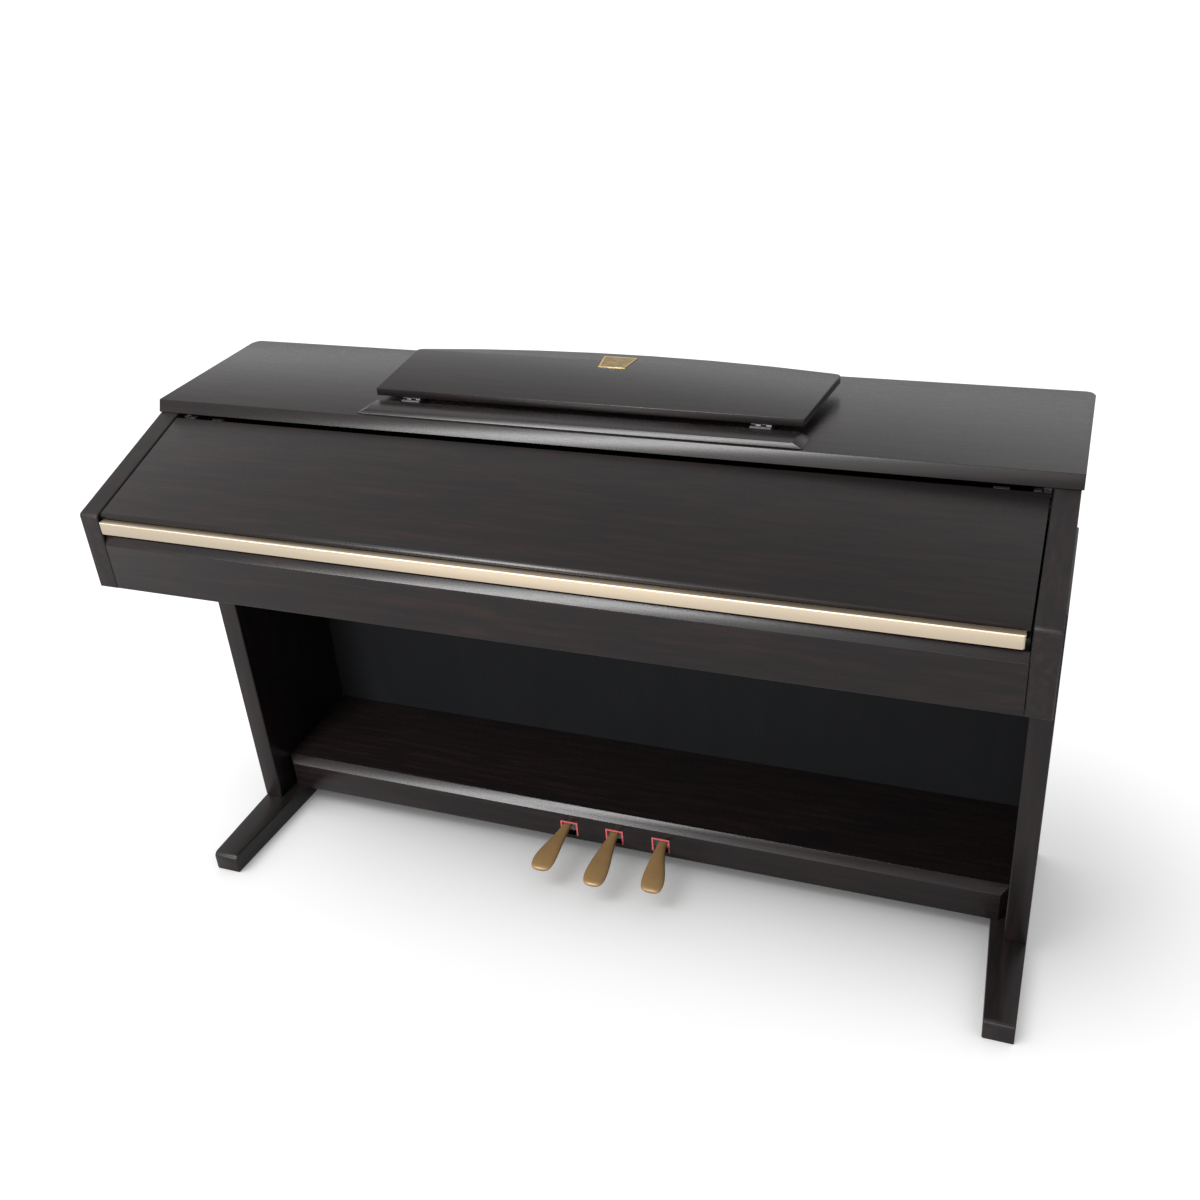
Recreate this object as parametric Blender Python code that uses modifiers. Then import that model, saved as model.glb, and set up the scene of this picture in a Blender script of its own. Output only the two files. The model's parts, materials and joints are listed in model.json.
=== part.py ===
"""Console digital piano with a sliding key cover, a folding music rest and three pedals.

Metres, +Z up. +X is to the player's right and the front faces -Y. The origin is at the middle of
the footprint, on the floor. The cover is closed and the music rest is folded down.
"""

import math

import bmesh
import bpy
from mathutils import Matrix, Vector

# Driving dimensions

GAP = 0.0003                     # between pieces that touch

WIDTH = 1.400                    # top board, end to end
REAR = 0.260                     # rear edge of the top board
TOP = 0.852                      # upper face of the top board
TOP_THICKNESS = 0.0187
TOP_FRONT = -0.018               # upper front edge of the top board
TOP_LEAN = 0.0075                # how far its front edge leans forward at the bottom
TOP_CORNER = 0.014               # rounding of its rear corners

CASE_BACK = 0.2575               # rear face of the back boards
SIDE_OUTER = 0.697               # outer face of the side arms
SIDE_INNER = 0.664               # inner face of the side arms
CASE_FRONT = -0.253              # front face of the arms and the key slip
CASE_BOTTOM = 0.639
CREASE = 0.7635                  # where an arm's front face meets its slope
SLOPE_TOP_Y = -0.027             # where the slope ends under the top board
BOARD = 0.018                    # panel thickness of the case

COVER_THICKNESS = 0.014
COVER_DROP = 0.0005              # cover surface below the arms' slope
COVER_HALF = 0.6615
COVER_NOSE = -0.250
COVER_REAR = -0.032
COVER_TRAVEL = 0.215
COVER_REBATE = 0.009             # depth cut under its side edges, which pass over the rails
COVER_REBATE_INNER = 0.6375
COVER_REBATE_END = 0.212         # the rebate stops short of the nose
RAIL_FALL = math.radians(2.0)    # the rails fall towards the rear
SHAFT_Y = -0.012
SHAFT_Z = 0.815
SHAFT_RADIUS = 0.004
BORE_PLAY = 0.0003
GEAR_MODULE = 0.0015
PINION_TEETH = 12
RAIL_INNER = 0.639
RACK_INNER = 0.651

HANDLE_FRONT = -0.260
HANDLE_HALF = 0.657
HANDLE_TOP = 0.7565
HANDLE_BOTTOM = 0.7375
HANDLE_WALL = 0.0026

WHITE_PITCH = 0.0235
WHITE_COUNT = 52
KEY_SIDE_GAP = 0.0005
KEY_FRONT = -0.228
KEY_REAR = -0.004
KEY_HEAD = 0.050                 # length of a white key's wide front part
KEY_TOP = 0.738
KEY_BOTTOM = 0.718
BLACK_HALF = 0.0055
BLACK_TOP_HALF = 0.0046
BLACK_GAP = 0.0010
BLACK_HEIGHT = 0.0115
BLACK_REAR = -0.083
KEY_PIVOT_Y = -0.010
KEY_PIVOT_Z = 0.7215

REST_HINGE_Y = 0.0335
REST_HINGE_Z = 0.8574
REST_FRONT = 0.038
REST_BOTTOM = 0.8625
REST_THICKNESS = 0.012
REST_FRONT_HALF = 0.332
REST_REAR_HALF = 0.348
REST_CORNER_Y = 0.205
REST_FAR = 0.2405                # far edge at the middle of its arch
STAY_REACH = 0.0925              # hinge to stay pivot
STAY_LENGTH = 0.0947
STAY_X = 0.150
LEDGE_HALF = 0.342
LEDGE_HEIGHT = 0.0070

LEG_OUTER = 0.700
LEG_INNER = 0.665
LEG_FRONT = -0.004
FOOT_HEIGHT = 0.036
FOOT_FRONT = -0.178
FOOT_INNER = 0.640
FOOT_TIP_INNER = 0.6535
FOOT_TAPER_END = 0.060

BOX_FACE = 0.0360                # front face of the pedal board
BOX_TOP = 0.1018
BOX_CHAMFER_RUN = 0.0133
BOX_CHAMFER_RISE = 0.0125
BOX_CANT = 0.012                 # the pedal board's ends are canted in plan
PEDAL_PITCH = 0.0855
PEDAL_SPLAY = 0.0095             # outer pedals turn outwards by this much at their heads
PEDAL_PIVOT_Y = 0.150
PEDAL_PIVOT_Z = 0.060
PEDAL_PIN = 0.003
SLOT_HALF = 0.0135
SLOT_LOW = 0.0445
SLOT_HIGH = 0.0705
FELT = 0.003

MIDDLE_FIRST = 23                # white keys from C4 to E4 move one by one
MIDDLE_LAST = 26
SPEAKER_X = 0.450
SPEAKER_Y = 0.140
SPEAKER_SLOTS = 6
SPEAKER_SLOT_PITCH = 0.018
INLET_PLACE = (-0.560, 0.190)
HEADPHONE_PLACE = (-0.600, -0.190)
RAIL_LOW = -0.028                # rail's lower side below the shaft's line
LEDGE_LINE = -0.0120             # rail ledge below the shaft's line
CONTROL_ALONG = 0.030            # controls' height up the panel's slope
CONTROL_PLAY = 0.0004
SLIDER_TRAVEL = 0.015
CONTROLS = (                     # name, x, half width, half height, how far it stands out
    ("power_button", 0.560, 0.0060, 0.0060, 0.0025),
    ("volume_slider", -0.560, 0.0030, 0.0012, 0.0020),
    ("function_button", -0.480, 0.0070, 0.0040, 0.0025),
)

# Derived places

PEDAL_CENTRES = (-PEDAL_PITCH, 0.0, PEDAL_PITCH)
CONTROL_HOLES = [
    (x, half_x + CONTROL_PLAY + (SLIDER_TRAVEL if name == "volume_slider" else 0), half_along + CONTROL_PLAY)
    for name, x, half_x, half_along, top in CONTROLS
]

SLOPE = math.atan2(TOP - TOP_THICKNESS - 0.0008 - CREASE, SLOPE_TOP_Y - CASE_FRONT)
TOP_UNDER = TOP - TOP_THICKNESS
PINION_RADIUS = GEAR_MODULE * PINION_TEETH / 2
KEYS_LEFT = -WHITE_PITCH * WHITE_COUNT / 2
PANEL_FRONT = -0.0785
PANEL_LOW = 0.744
PANEL_TOP_Y = -0.030
PANEL_TOP = 0.782
PANEL_SHEET = 0.003
PANEL_FACE_LOW = 0.7475
PANEL_SLOPE = math.atan2(PANEL_TOP - PANEL_FACE_LOW, PANEL_TOP_Y - PANEL_FRONT)

AXIS_TURN = {
    "X": Matrix.Rotation(math.radians(90), 4, "Z") @ Matrix.Rotation(math.radians(90), 4, "X"),
    "Y": Matrix.Rotation(math.radians(90), 4, "X"),
    "Z": Matrix.Identity(4),
}

part_collection = None
cutter_collection = None


# Building helpers

def clear_scene():
    """Empty the file that the script runs in."""
    for item in list(bpy.data.objects):
        bpy.data.objects.remove(item, do_unlink=True)


def make_collections():
    """Make one collection for the piano's pieces and one for the cutters."""
    global part_collection, cutter_collection
    part_collection = bpy.data.collections.new("digital_piano")
    cutter_collection = bpy.data.collections.new("cutters")
    bpy.context.scene.collection.children.link(part_collection)
    bpy.context.scene.collection.children.link(cutter_collection)


def make_material(name, colour, roughness, metallic=0.0):
    """Make a material of one colour."""
    material = bpy.data.materials.new(name)
    material.use_nodes = True
    shader = material.node_tree.nodes["Principled BSDF"]
    shader.inputs["Base Color"].default_value = (*colour, 1.0)
    shader.inputs["Roughness"].default_value = roughness
    shader.inputs["Metallic"].default_value = metallic
    return material


def object_from_bmesh(name, bm, material=None, cutter=False):
    """Turn a bmesh into a named object in the right collection."""
    bmesh.ops.recalc_face_normals(bm, faces=bm.faces)
    mesh = bpy.data.meshes.new(name)
    bm.to_mesh(mesh)
    bm.free()
    item = bpy.data.objects.new(name, mesh)
    if cutter:
        cutter_collection.objects.link(item)
        item.display_type = "WIRE"
        item.hide_render = True
    else:
        part_collection.objects.link(item)
    if material is not None:
        mesh.materials.append(material)
    return item


def add_box(bm, low, high):
    """Add a closed box between two corners and return its vertices."""
    size = [high[i] - low[i] for i in range(3)]
    middle = [(high[i] + low[i]) / 2 for i in range(3)]
    matrix = Matrix.Translation(middle) @ Matrix.Diagonal((*size, 1.0))
    return bmesh.ops.create_cube(bm, size=1.0, matrix=matrix)["verts"]


def box(name, low, high, material=None, edge=0.0, cutter=False):
    """Make a box, with its edges broken by a Bevel where edge is given."""
    bm = bmesh.new()
    add_box(bm, low, high)
    item = object_from_bmesh(name, bm, material, cutter)
    if edge:
        soften(item, edge)
    return item


def cylinder(name, start, end, radius, material=None, sides=16, cutter=False):
    """Make a closed cylinder between two points."""
    start = Vector(start)
    end = Vector(end)
    turn = (end - start).to_track_quat("Z", "Y").to_matrix().to_4x4()
    bm = bmesh.new()
    bmesh.ops.create_cone(
        bm, cap_ends=True, segments=sides, radius1=radius, radius2=radius,
        depth=(end - start).length, matrix=Matrix.Translation((start + end) / 2) @ turn,
    )
    return object_from_bmesh(name, bm, material, cutter)


def prism(name, outlines, axis, low, high, material=None, cutter=False):
    """Extrude flat outlines along an axis; outlines inside others are holes.

    Outlines for X hold (y, z) points, for Y (x, z) points and for Z (x, y) points.
    """
    curve = bpy.data.curves.new(name, "CURVE")
    curve.dimensions = "2D"
    curve.fill_mode = "BOTH"
    curve.extrude = (high - low) / 2
    for outline in outlines:
        spline = curve.splines.new("POLY")
        spline.points.add(len(outline) - 1)
        for point, place in zip(spline.points, outline):
            point.co = (place[0], place[1], 0.0, 1.0)
        spline.use_cyclic_u = True
    flat = bpy.data.objects.new(name + "_outline", curve)
    cutter_collection.objects.link(flat)
    middle = (low + high) / 2
    shift = {"X": (middle, 0, 0), "Y": (0, middle, 0), "Z": (0, 0, middle)}[axis]
    flat.matrix_world = Matrix.Translation(shift) @ AXIS_TURN[axis]
    graph = bpy.context.evaluated_depsgraph_get()
    mesh = bpy.data.meshes.new_from_object(flat.evaluated_get(graph))
    bm = bmesh.new()
    bm.from_mesh(mesh)
    bmesh.ops.remove_doubles(bm, verts=bm.verts, dist=0.00002)
    bmesh.ops.transform(bm, matrix=flat.matrix_world, verts=bm.verts)
    bpy.data.objects.remove(flat, do_unlink=True)
    bpy.data.meshes.remove(mesh)
    return object_from_bmesh(name, bm, material, cutter)


def turned(name, profile, centre, material, steps=24):
    """Turn a profile of (radius, height) points, listed outer side downwards, about Z."""
    bm = bmesh.new()
    points = [bm.verts.new((radius, 0.0, height)) for radius, height in profile]
    for first, second in zip(points, points[1:]):
        bm.edges.new((first, second))
    mesh = bpy.data.meshes.new(name)
    bm.to_mesh(mesh)
    bm.free()
    item = bpy.data.objects.new(name, mesh)
    part_collection.objects.link(item)
    item.location = centre
    mesh.materials.append(material)
    screw = item.modifiers.new("turn", "SCREW")
    screw.angle = math.tau
    screw.steps = steps
    screw.render_steps = steps
    screw.use_merge_vertices = True
    screw.merge_threshold = 0.0001
    return item


def soften(item, width, segments=1):
    """Break the sharp edges of a piece."""
    bevel = item.modifiers.new("edges", "BEVEL")
    bevel.width = width
    bevel.segments = segments
    bevel.limit_method = "ANGLE"
    bevel.angle_limit = math.radians(40)


def round_edges(item, chosen, width, segments):
    """Round only the edges for which chosen(first point, second point) is true."""
    bm = bmesh.new()
    bm.from_mesh(item.data)
    edges = [edge for edge in bm.edges if chosen(edge.verts[0].co, edge.verts[1].co)]
    bmesh.ops.bevel(bm, geom=edges, offset=width, segments=segments, profile=0.5, affect="EDGES")
    bm.to_mesh(item.data)
    bm.free()


def combine(item, other, operation):
    """Add a Boolean with another object, which becomes a hidden guide."""
    boolean = item.modifiers.new(operation.lower(), "BOOLEAN")
    boolean.operation = operation
    boolean.solver = "EXACT"
    boolean.object = other
    other.display_type = "WIRE"
    other.hide_render = True


def cut(item, cutter):
    """Take a cutter away from a piece."""
    combine(item, cutter, "DIFFERENCE")


def fuse(item, other):
    """Join a guide to a piece as one body."""
    combine(item, other, "UNION")


def shade_round(item, angle=35):
    """Shade a round piece smooth and keep its edges sharp."""
    item.data.shade_smooth()
    item.data.set_sharp_from_angle(angle=math.radians(angle))


def make_axis(name, place, parent=None):
    """Make an empty on a joint's axis."""
    empty = bpy.data.objects.new(name, None)
    empty.empty_display_size = 0.02
    empty.location = place
    part_collection.objects.link(empty)
    if parent is not None:
        hang(empty, parent)
    return empty


def hang(item, parent):
    """Parent a piece without moving it."""
    bpy.context.view_layer.update()
    world = item.matrix_world.copy()
    item.parent = parent
    item.matrix_parent_inverse = parent.matrix_world.inverted()
    item.matrix_world = world


def arc(centre, radius, start, end, steps):
    """Points on an arc, with angles in degrees."""
    points = []
    for step in range(steps + 1):
        angle = math.radians(start + (end - start) * step / steps)
        points.append((centre[0] + radius * math.cos(angle), centre[1] + radius * math.sin(angle)))
    return points


def slope_height(y):
    """Height of the arms' sloping face at a given depth."""
    return CREASE + (y - CASE_FRONT) * math.tan(SLOPE)


def cover_place(along, above):
    """Turn distances along the cover from its shaft, and above the shaft, into (y, z)."""
    return (
        SHAFT_Y - along * math.cos(SLOPE) - above * math.sin(SLOPE),
        SHAFT_Z - along * math.sin(SLOPE) + above * math.cos(SLOPE),
    )


def eye_and_arm(eye, arm_low, arm_high, arm_end, steps=12):
    """Outline of a round eye at the origin with a flat arm along +x between two heights."""
    first = math.degrees(math.asin(arm_high / eye))
    last = math.degrees(math.asin(arm_low / eye)) + 360
    outline = arc((0, 0), eye, first, last, steps)
    outline.append((arm_end, arm_low))
    outline.append((arm_end, arm_high))
    return outline


# Case

def make_top_board(wood):
    """Top board with a leaning front edge and rounded rear corners."""
    front = TOP_FRONT
    profile = [(front - TOP_LEAN, TOP_UNDER), (REAR, TOP_UNDER), (REAR, TOP), (front, TOP)]
    board = prism("top_board", [profile], "X", -WIDTH / 2, WIDTH / 2, wood)
    rear_corner = REAR - 0.001
    end = WIDTH / 2 - 0.001
    round_edges(
        board,
        lambda a, b: min(a.y, b.y) > rear_corner and min(abs(a.x), abs(b.x)) > end and abs(a.x - b.x) < 0.001,
        TOP_CORNER, 4,
    )
    return board


def arm_profile():
    """Side arm: upright front, slope beside the cover, and a level top under the top board."""
    top = TOP_UNDER - GAP
    crease_round = 0.006
    lean = math.degrees(SLOPE)
    centre = (CASE_FRONT + crease_round, CREASE - crease_round * math.tan(math.radians(45 - lean / 2)))
    rounding = arc(centre, crease_round, 180, 90 + lean, 3)
    return [(CASE_BACK, CASE_BOTTOM), (CASE_BACK, top), (SLOPE_TOP_Y, top), *reversed(rounding),
            (CASE_FRONT, CASE_BOTTOM)]


def make_arms(wood):
    """Two side arms, which are the ends of the case."""
    for side, sign in (("left", -1), ("right", 1)):
        low, high = sorted((sign * SIDE_INNER, sign * SIDE_OUTER))
        arm = prism("arm_" + side, [arm_profile()], "X", low, high, wood)
        soften(arm, 0.0015)


def make_key_bed(wood):
    """Key bed with speaker slots, a hole for the mains inlet and nothing else under it."""
    half = SIDE_INNER - GAP
    bed = box("key_bed", (-half, CASE_FRONT + BOARD, CASE_BOTTOM + 0.001), (half, 0.2440, 0.660), wood)
    slots = bmesh.new()
    for centre in (-SPEAKER_X, SPEAKER_X):
        for index in range(SPEAKER_SLOTS):
            x = centre + (index - (SPEAKER_SLOTS - 1) / 2) * SPEAKER_SLOT_PITCH
            add_box(slots, (x - 0.0045, SPEAKER_Y - 0.050, 0.62), (x + 0.0045, SPEAKER_Y + 0.050, 0.68))
    cut(bed, object_from_bmesh("speaker_slots", slots, cutter=True))
    x, y = INLET_PLACE
    cut(bed, box("inlet_hole", (x - 0.017, y - 0.013, 0.62), (x + 0.017, y + 0.013, 0.68), cutter=True))
    return bed


def make_key_slip(wood):
    """Front rail below the keys with a chamfered upper edge."""
    half = SIDE_INNER - GAP
    rear = CASE_FRONT + BOARD - GAP
    profile = [(CASE_FRONT, CASE_BOTTOM + 0.001), (rear, CASE_BOTTOM + 0.001), (rear, 0.7265),
               (CASE_FRONT + 0.008, 0.7265), (CASE_FRONT, 0.714)]
    return prism("key_slip", [profile], "X", -half, half, wood)


def make_case_back(board):
    """Rear board of the upper case."""
    half = SIDE_INNER - GAP
    low = (-half, 0.2440 + GAP, CASE_BOTTOM + 0.001)
    return box("case_back", low, (half, CASE_BACK, TOP_UNDER - GAP), board, edge=0.001)


def panel_place(along, above):
    """Turn distances up the panel's sloping face, and above it, into (y, z)."""
    return (
        PANEL_FRONT + along * math.cos(PANEL_SLOPE) - above * math.sin(PANEL_SLOPE),
        PANEL_FACE_LOW + along * math.sin(PANEL_SLOPE) + above * math.cos(PANEL_SLOPE),
    )


def make_control_panel(black):
    """Sheet behind the keys: a sloping face with the controls and a level deck under the cover."""
    inner = PANEL_SHEET
    bend = inner * math.tan(PANEL_SLOPE / 2)
    foot = inner * math.tan(math.radians(45) - PANEL_SLOPE / 2)
    profile = [
        (PANEL_FRONT, PANEL_LOW),
        (PANEL_FRONT + inner, PANEL_LOW),
        (PANEL_FRONT + inner, PANEL_FACE_LOW - foot),
        (PANEL_TOP_Y + bend, PANEL_TOP - inner),
        (0.2440, PANEL_TOP - inner),
        (0.2440, PANEL_TOP),
        (PANEL_TOP_Y, PANEL_TOP),
        (PANEL_FRONT, PANEL_FACE_LOW),
    ]
    half = RAIL_INNER - 0.001
    panel = prism("control_panel", [profile], "X", -half, half, black)
    holes = bmesh.new()
    turn = Matrix.Rotation(PANEL_SLOPE, 4, "X")
    for x, half_x, half_along in CONTROL_HOLES:
        y, z = panel_place(CONTROL_ALONG, 0.0)
        size = Matrix.Diagonal((2 * half_x, 2 * half_along, 0.02, 1.0))
        bmesh.ops.create_cube(holes, size=1.0, matrix=Matrix.Translation((x, y, z)) @ turn @ size)
    cut(panel, object_from_bmesh("control_holes", holes, cutter=True))
    return panel


def make_cheek_blocks(wood):
    """Blocks that fill the space between the end keys and the arms."""
    inner = -KEYS_LEFT + 0.0015
    outer = SIDE_INNER - GAP
    for side, sign in (("left", -1), ("right", 1)):
        low, high = sorted((sign * inner, sign * outer))
        box("cheek_block_" + side, (low, CASE_FRONT + BOARD, 0.660 + GAP), (high, PANEL_FRONT - GAP, 0.740),
            wood, edge=0.002)


# Keyboard

def letter_of(white_index):
    """Letter of a white key, counted from the lowest one."""
    return "ABCDEFG"[white_index % 7]


def black_centre(white_index):
    """Middle of the black key to the right of a white key, or None where there is none."""
    offset = {"C": -0.0023, "D": 0.0023, "F": -0.0034, "G": 0.0, "A": 0.0034}.get(letter_of(white_index))
    if offset is None or not 0 <= white_index < WHITE_COUNT - 1:
        return None
    return KEYS_LEFT + (white_index + 1) * WHITE_PITCH + offset


def white_outline(white_index):
    """Plan of a white key: a wide head and a tail that leaves room for the black keys."""
    left = KEYS_LEFT + white_index * WHITE_PITCH + KEY_SIDE_GAP
    right = KEYS_LEFT + (white_index + 1) * WHITE_PITCH - KEY_SIDE_GAP
    step = KEY_FRONT + KEY_HEAD
    tail_left = left
    tail_right = right
    before = black_centre(white_index - 1)
    after = black_centre(white_index)
    if before is not None:
        tail_left = before + BLACK_HALF + BLACK_GAP
    if after is not None:
        tail_right = after - BLACK_HALF - BLACK_GAP
    outline = [(left, KEY_FRONT), (right, KEY_FRONT)]
    if tail_right != right:
        outline += [(right, step), (tail_right, step)]
    outline += [(tail_right, KEY_REAR), (tail_left, KEY_REAR)]
    if tail_left != left:
        outline += [(tail_left, step), (left, step)]
    return outline


def make_white_keys(name, indices, ivory, cutter=False):
    """White keys cut from a slab by their plan outlines."""
    return prism(name, [white_outline(index) for index in indices], "Z", KEY_BOTTOM, KEY_TOP, ivory, cutter)


def make_black_keys(name, centres, ebony, cutter=False):
    """Black keys: a tall tapered front part on a low body that runs back under the panel."""
    step = KEY_FRONT + KEY_HEAD
    profile = [
        (step + 0.0010, KEY_BOTTOM),
        (KEY_REAR, KEY_BOTTOM),
        (KEY_REAR, KEY_TOP),
        (BLACK_REAR, KEY_TOP),
        (BLACK_REAR, KEY_TOP + BLACK_HEIGHT),
        (step + 0.0062, KEY_TOP + BLACK_HEIGHT),
        (step + 0.0020, KEY_TOP),
    ]
    pattern = prism(name + "_pattern", [profile], "X", -BLACK_HALF, BLACK_HALF)
    for vertex in pattern.data.vertices:
        if vertex.co.z > KEY_TOP + BLACK_HEIGHT / 2:
            vertex.co.x *= BLACK_TOP_HALF / BLACK_HALF
    bm = bmesh.new()
    for centre in centres:
        known = len(bm.verts)
        bm.from_mesh(pattern.data)
        bm.verts.ensure_lookup_table()
        bmesh.ops.translate(bm, vec=(centre, 0, 0), verts=bm.verts[known:])
    bpy.data.objects.remove(pattern, do_unlink=True)
    return object_from_bmesh(name, bm, ebony, cutter)


def make_key_bank(name, first, last, ivory, ebony):
    """Keys of one bank, joined along their rear ends by the strip that they pivot with."""
    low = KEYS_LEFT + first * WHITE_PITCH + KEY_SIDE_GAP + 0.0003
    high = KEYS_LEFT + last * WHITE_PITCH - KEY_SIDE_GAP - 0.0003
    strip = (low, KEY_REAR - 0.008, KEY_BOTTOM + 0.002), (high, KEY_REAR + 0.004, KEY_TOP - 0.002)
    bank = box(name, *strip, ivory)
    bank.data.materials.append(ebony)
    fuse(bank, make_white_keys(name + "_white", range(first, last), ivory, cutter=True))
    centres = [black_centre(index) for index in range(first, last) if black_centre(index) is not None]
    centres = [centre for centre in centres if centre + BLACK_HALF < high]
    fuse(bank, make_black_keys(name + "_black", centres, ebony, cutter=True))
    on_axis(bank, name + "_axis", (low + high) / 2)


def make_keyboard(ivory, ebony):
    """Three white and two black middle keys one by one, and the keys beside them as two banks."""
    for index in range(MIDDLE_FIRST, MIDDLE_LAST):
        letter = letter_of(index).lower()
        on_axis(make_white_keys(f"key_{letter}4", [index], ivory), "key_" + letter + "4_axis",
                KEYS_LEFT + (index + 0.5) * WHITE_PITCH)
        centre = black_centre(index)
        if centre is not None:
            on_axis(make_black_keys(f"key_{letter}4_sharp", [centre], ebony),
                    "key_" + letter + "4_sharp_axis", centre)
    make_key_bank("keys_bass", 0, MIDDLE_FIRST, ivory, ebony)
    make_key_bank("keys_treble", MIDDLE_LAST, WHITE_COUNT, ivory, ebony)


def on_axis(key, name, x):
    """Hang a key on an empty at its pivot."""
    hang(key, make_axis(name, (x, KEY_PIVOT_Y, KEY_PIVOT_Z)))


def make_key_frame(steel):
    """Key frame: a sheet base with a front rail and a rear pivot rail, as one extruded profile."""
    half = -KEYS_LEFT
    base = 0.660 + GAP
    sheet = 0.003
    front = -0.2225
    rear = -0.0020
    front_top = 0.700
    rear_top = KEY_BOTTOM - 0.0008
    rail = 0.010
    profile = [
        (front, base), (rear, base), (rear, rear_top), (rear - rail, rear_top),
        (rear - rail, base + sheet), (front + rail, base + sheet), (front + rail, front_top),
        (front, front_top),
    ]
    return prism("key_frame", [profile], "X", -half, half, steel)


def make_key_felt(felt):
    """Felt strip on the front rail, which stops the keys."""
    half = -KEYS_LEFT
    return box("key_felt", (-half, -0.2225, 0.700 + GAP), (half, -0.2125, 0.7076), felt)


# Sliding cover

def make_cover(wood):
    """Flat sloping board with a rounded nose, rebated below for the handle strip and over the rails."""
    top = (slope_height(SHAFT_Y) - SHAFT_Z) * math.cos(SLOPE) - COVER_DROP
    bottom = top - COVER_THICKNESS
    nose = (SHAFT_Y - COVER_NOSE) / math.cos(SLOPE) - top * math.tan(SLOPE)
    rear = (SHAFT_Y - COVER_REAR) / math.cos(SLOPE) - top * math.tan(SLOPE)
    nose_round = 0.006
    rear_round = 0.003
    rebate = 0.0025
    shape = arc((nose - nose_round, top - nose_round), nose_round, 90, -10, 6)
    shape += [(nose - rebate, top - nose_round - 0.0032), (nose - rebate - 0.0008, bottom)]
    shape += [(rear, bottom)]
    shape += arc((rear + rear_round, top - rear_round), rear_round, 180, 90, 3)
    outline = [cover_place(along, above) for along, above in shape]
    cover = prism("key_cover", [outline], "X", -COVER_HALF, COVER_HALF, wood)
    clear = 0.010
    below = bottom - clear
    rebate_top = bottom + COVER_REBATE
    rebate_shape = [(rear - clear, below), (COVER_REBATE_END, below), (COVER_REBATE_END, rebate_top),
                    (rear - clear, rebate_top)]
    rebate_outline = [cover_place(along, above) for along, above in rebate_shape]
    for side, sign in (("left", -1), ("right", 1)):
        low, high = sorted((sign * COVER_REBATE_INNER, sign * (COVER_HALF + clear)))
        cut(cover, prism("side_rebate_" + side, [rebate_outline], "X", low, high, cutter=True))
    return cover


def make_handle(metal):
    """Metal strip along the cover's front edge: a channel with a long front lip to pull."""
    front = HANDLE_FRONT
    rear = -0.2478
    wall = HANDLE_WALL
    profile = [
        (front, HANDLE_BOTTOM),
        (front + wall, HANDLE_BOTTOM),
        (front + wall, HANDLE_TOP - wall),
        (rear - wall, HANDLE_TOP - wall),
        (rear - wall, HANDLE_TOP - 0.0115),
        (rear, HANDLE_TOP - 0.0115),
        (rear, HANDLE_TOP),
        (front + 0.0012, HANDLE_TOP),
        (front, HANDLE_TOP - 0.0012),
    ]
    handle = prism("cover_handle", [profile], "X", -HANDLE_HALF, HANDLE_HALF, metal)
    end = HANDLE_HALF - 0.0001
    round_edges(
        handle,
        lambda a, b: max(a.y, b.y) < front + 0.0001 and min(abs(a.x), abs(b.x)) > end
        and abs(a.x - b.x) < 0.001,
        0.0022, 2,
    )
    return handle


def make_cover_brackets(steel):
    """Two steel brackets under the cover, with eyes round the shaft."""
    top = (slope_height(SHAFT_Y) - SHAFT_Z) * math.cos(SLOPE) - COVER_DROP
    under = top - COVER_THICKNESS - GAP
    outer = eye_and_arm(0.0075, under - 0.003, under, 0.075)
    bore = arc((0, 0), SHAFT_RADIUS + BORE_PLAY, 0, 330, 11)
    outlines = [[cover_place(along, above) for along, above in shape] for shape in (outer, bore)]
    return [
        prism("cover_bracket_" + side, outlines, "X", x - 0.010, x + 0.010, steel)
        for side, x in (("left", -0.600), ("right", 0.600))
    ]


def pinion_outline():
    """Spur pinion with straight-sided teeth, one tooth gap over the rack at rest."""
    root = PINION_RADIUS - 1.15 * GEAR_MODULE
    tip = PINION_RADIUS + 0.75 * GEAR_MODULE
    step = math.tau / PINION_TEETH
    root_half = 0.255 * step
    tip_half = 0.095 * step
    points = []
    for tooth in range(PINION_TEETH):
        middle = tooth * step - math.pi / 2 + step / 2
        for radius, turn in ((root, -root_half), (tip, -tip_half), (tip, tip_half), (root, root_half)):
            angle = middle + turn
            points.append((SHAFT_Y + radius * math.cos(angle), SHAFT_Z + radius * math.sin(angle)))
    return points


def make_cover_shaft(steel):
    """Shaft behind the cover with a pinion at each end, so that both ends travel together."""
    half = 0.6625
    shaft = cylinder("cover_shaft", (-half, SHAFT_Y, SHAFT_Z), (half, SHAFT_Y, SHAFT_Z), SHAFT_RADIUS, steel, 12)
    for side, low, high in (("left", -0.6615, -0.6520), ("right", 0.6520, 0.6615)):
        fuse(shaft, prism("pinion_" + side, [pinion_outline()], "X", low, high, cutter=True))
    return shaft


def rail_place(along, above):
    """Turn distances along the falling rail from the shaft, and above its line, into (y, z)."""
    return (
        SHAFT_Y + along * math.cos(RAIL_FALL) + above * math.sin(RAIL_FALL),
        SHAFT_Z - along * math.sin(RAIL_FALL) + above * math.cos(RAIL_FALL),
    )


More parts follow.
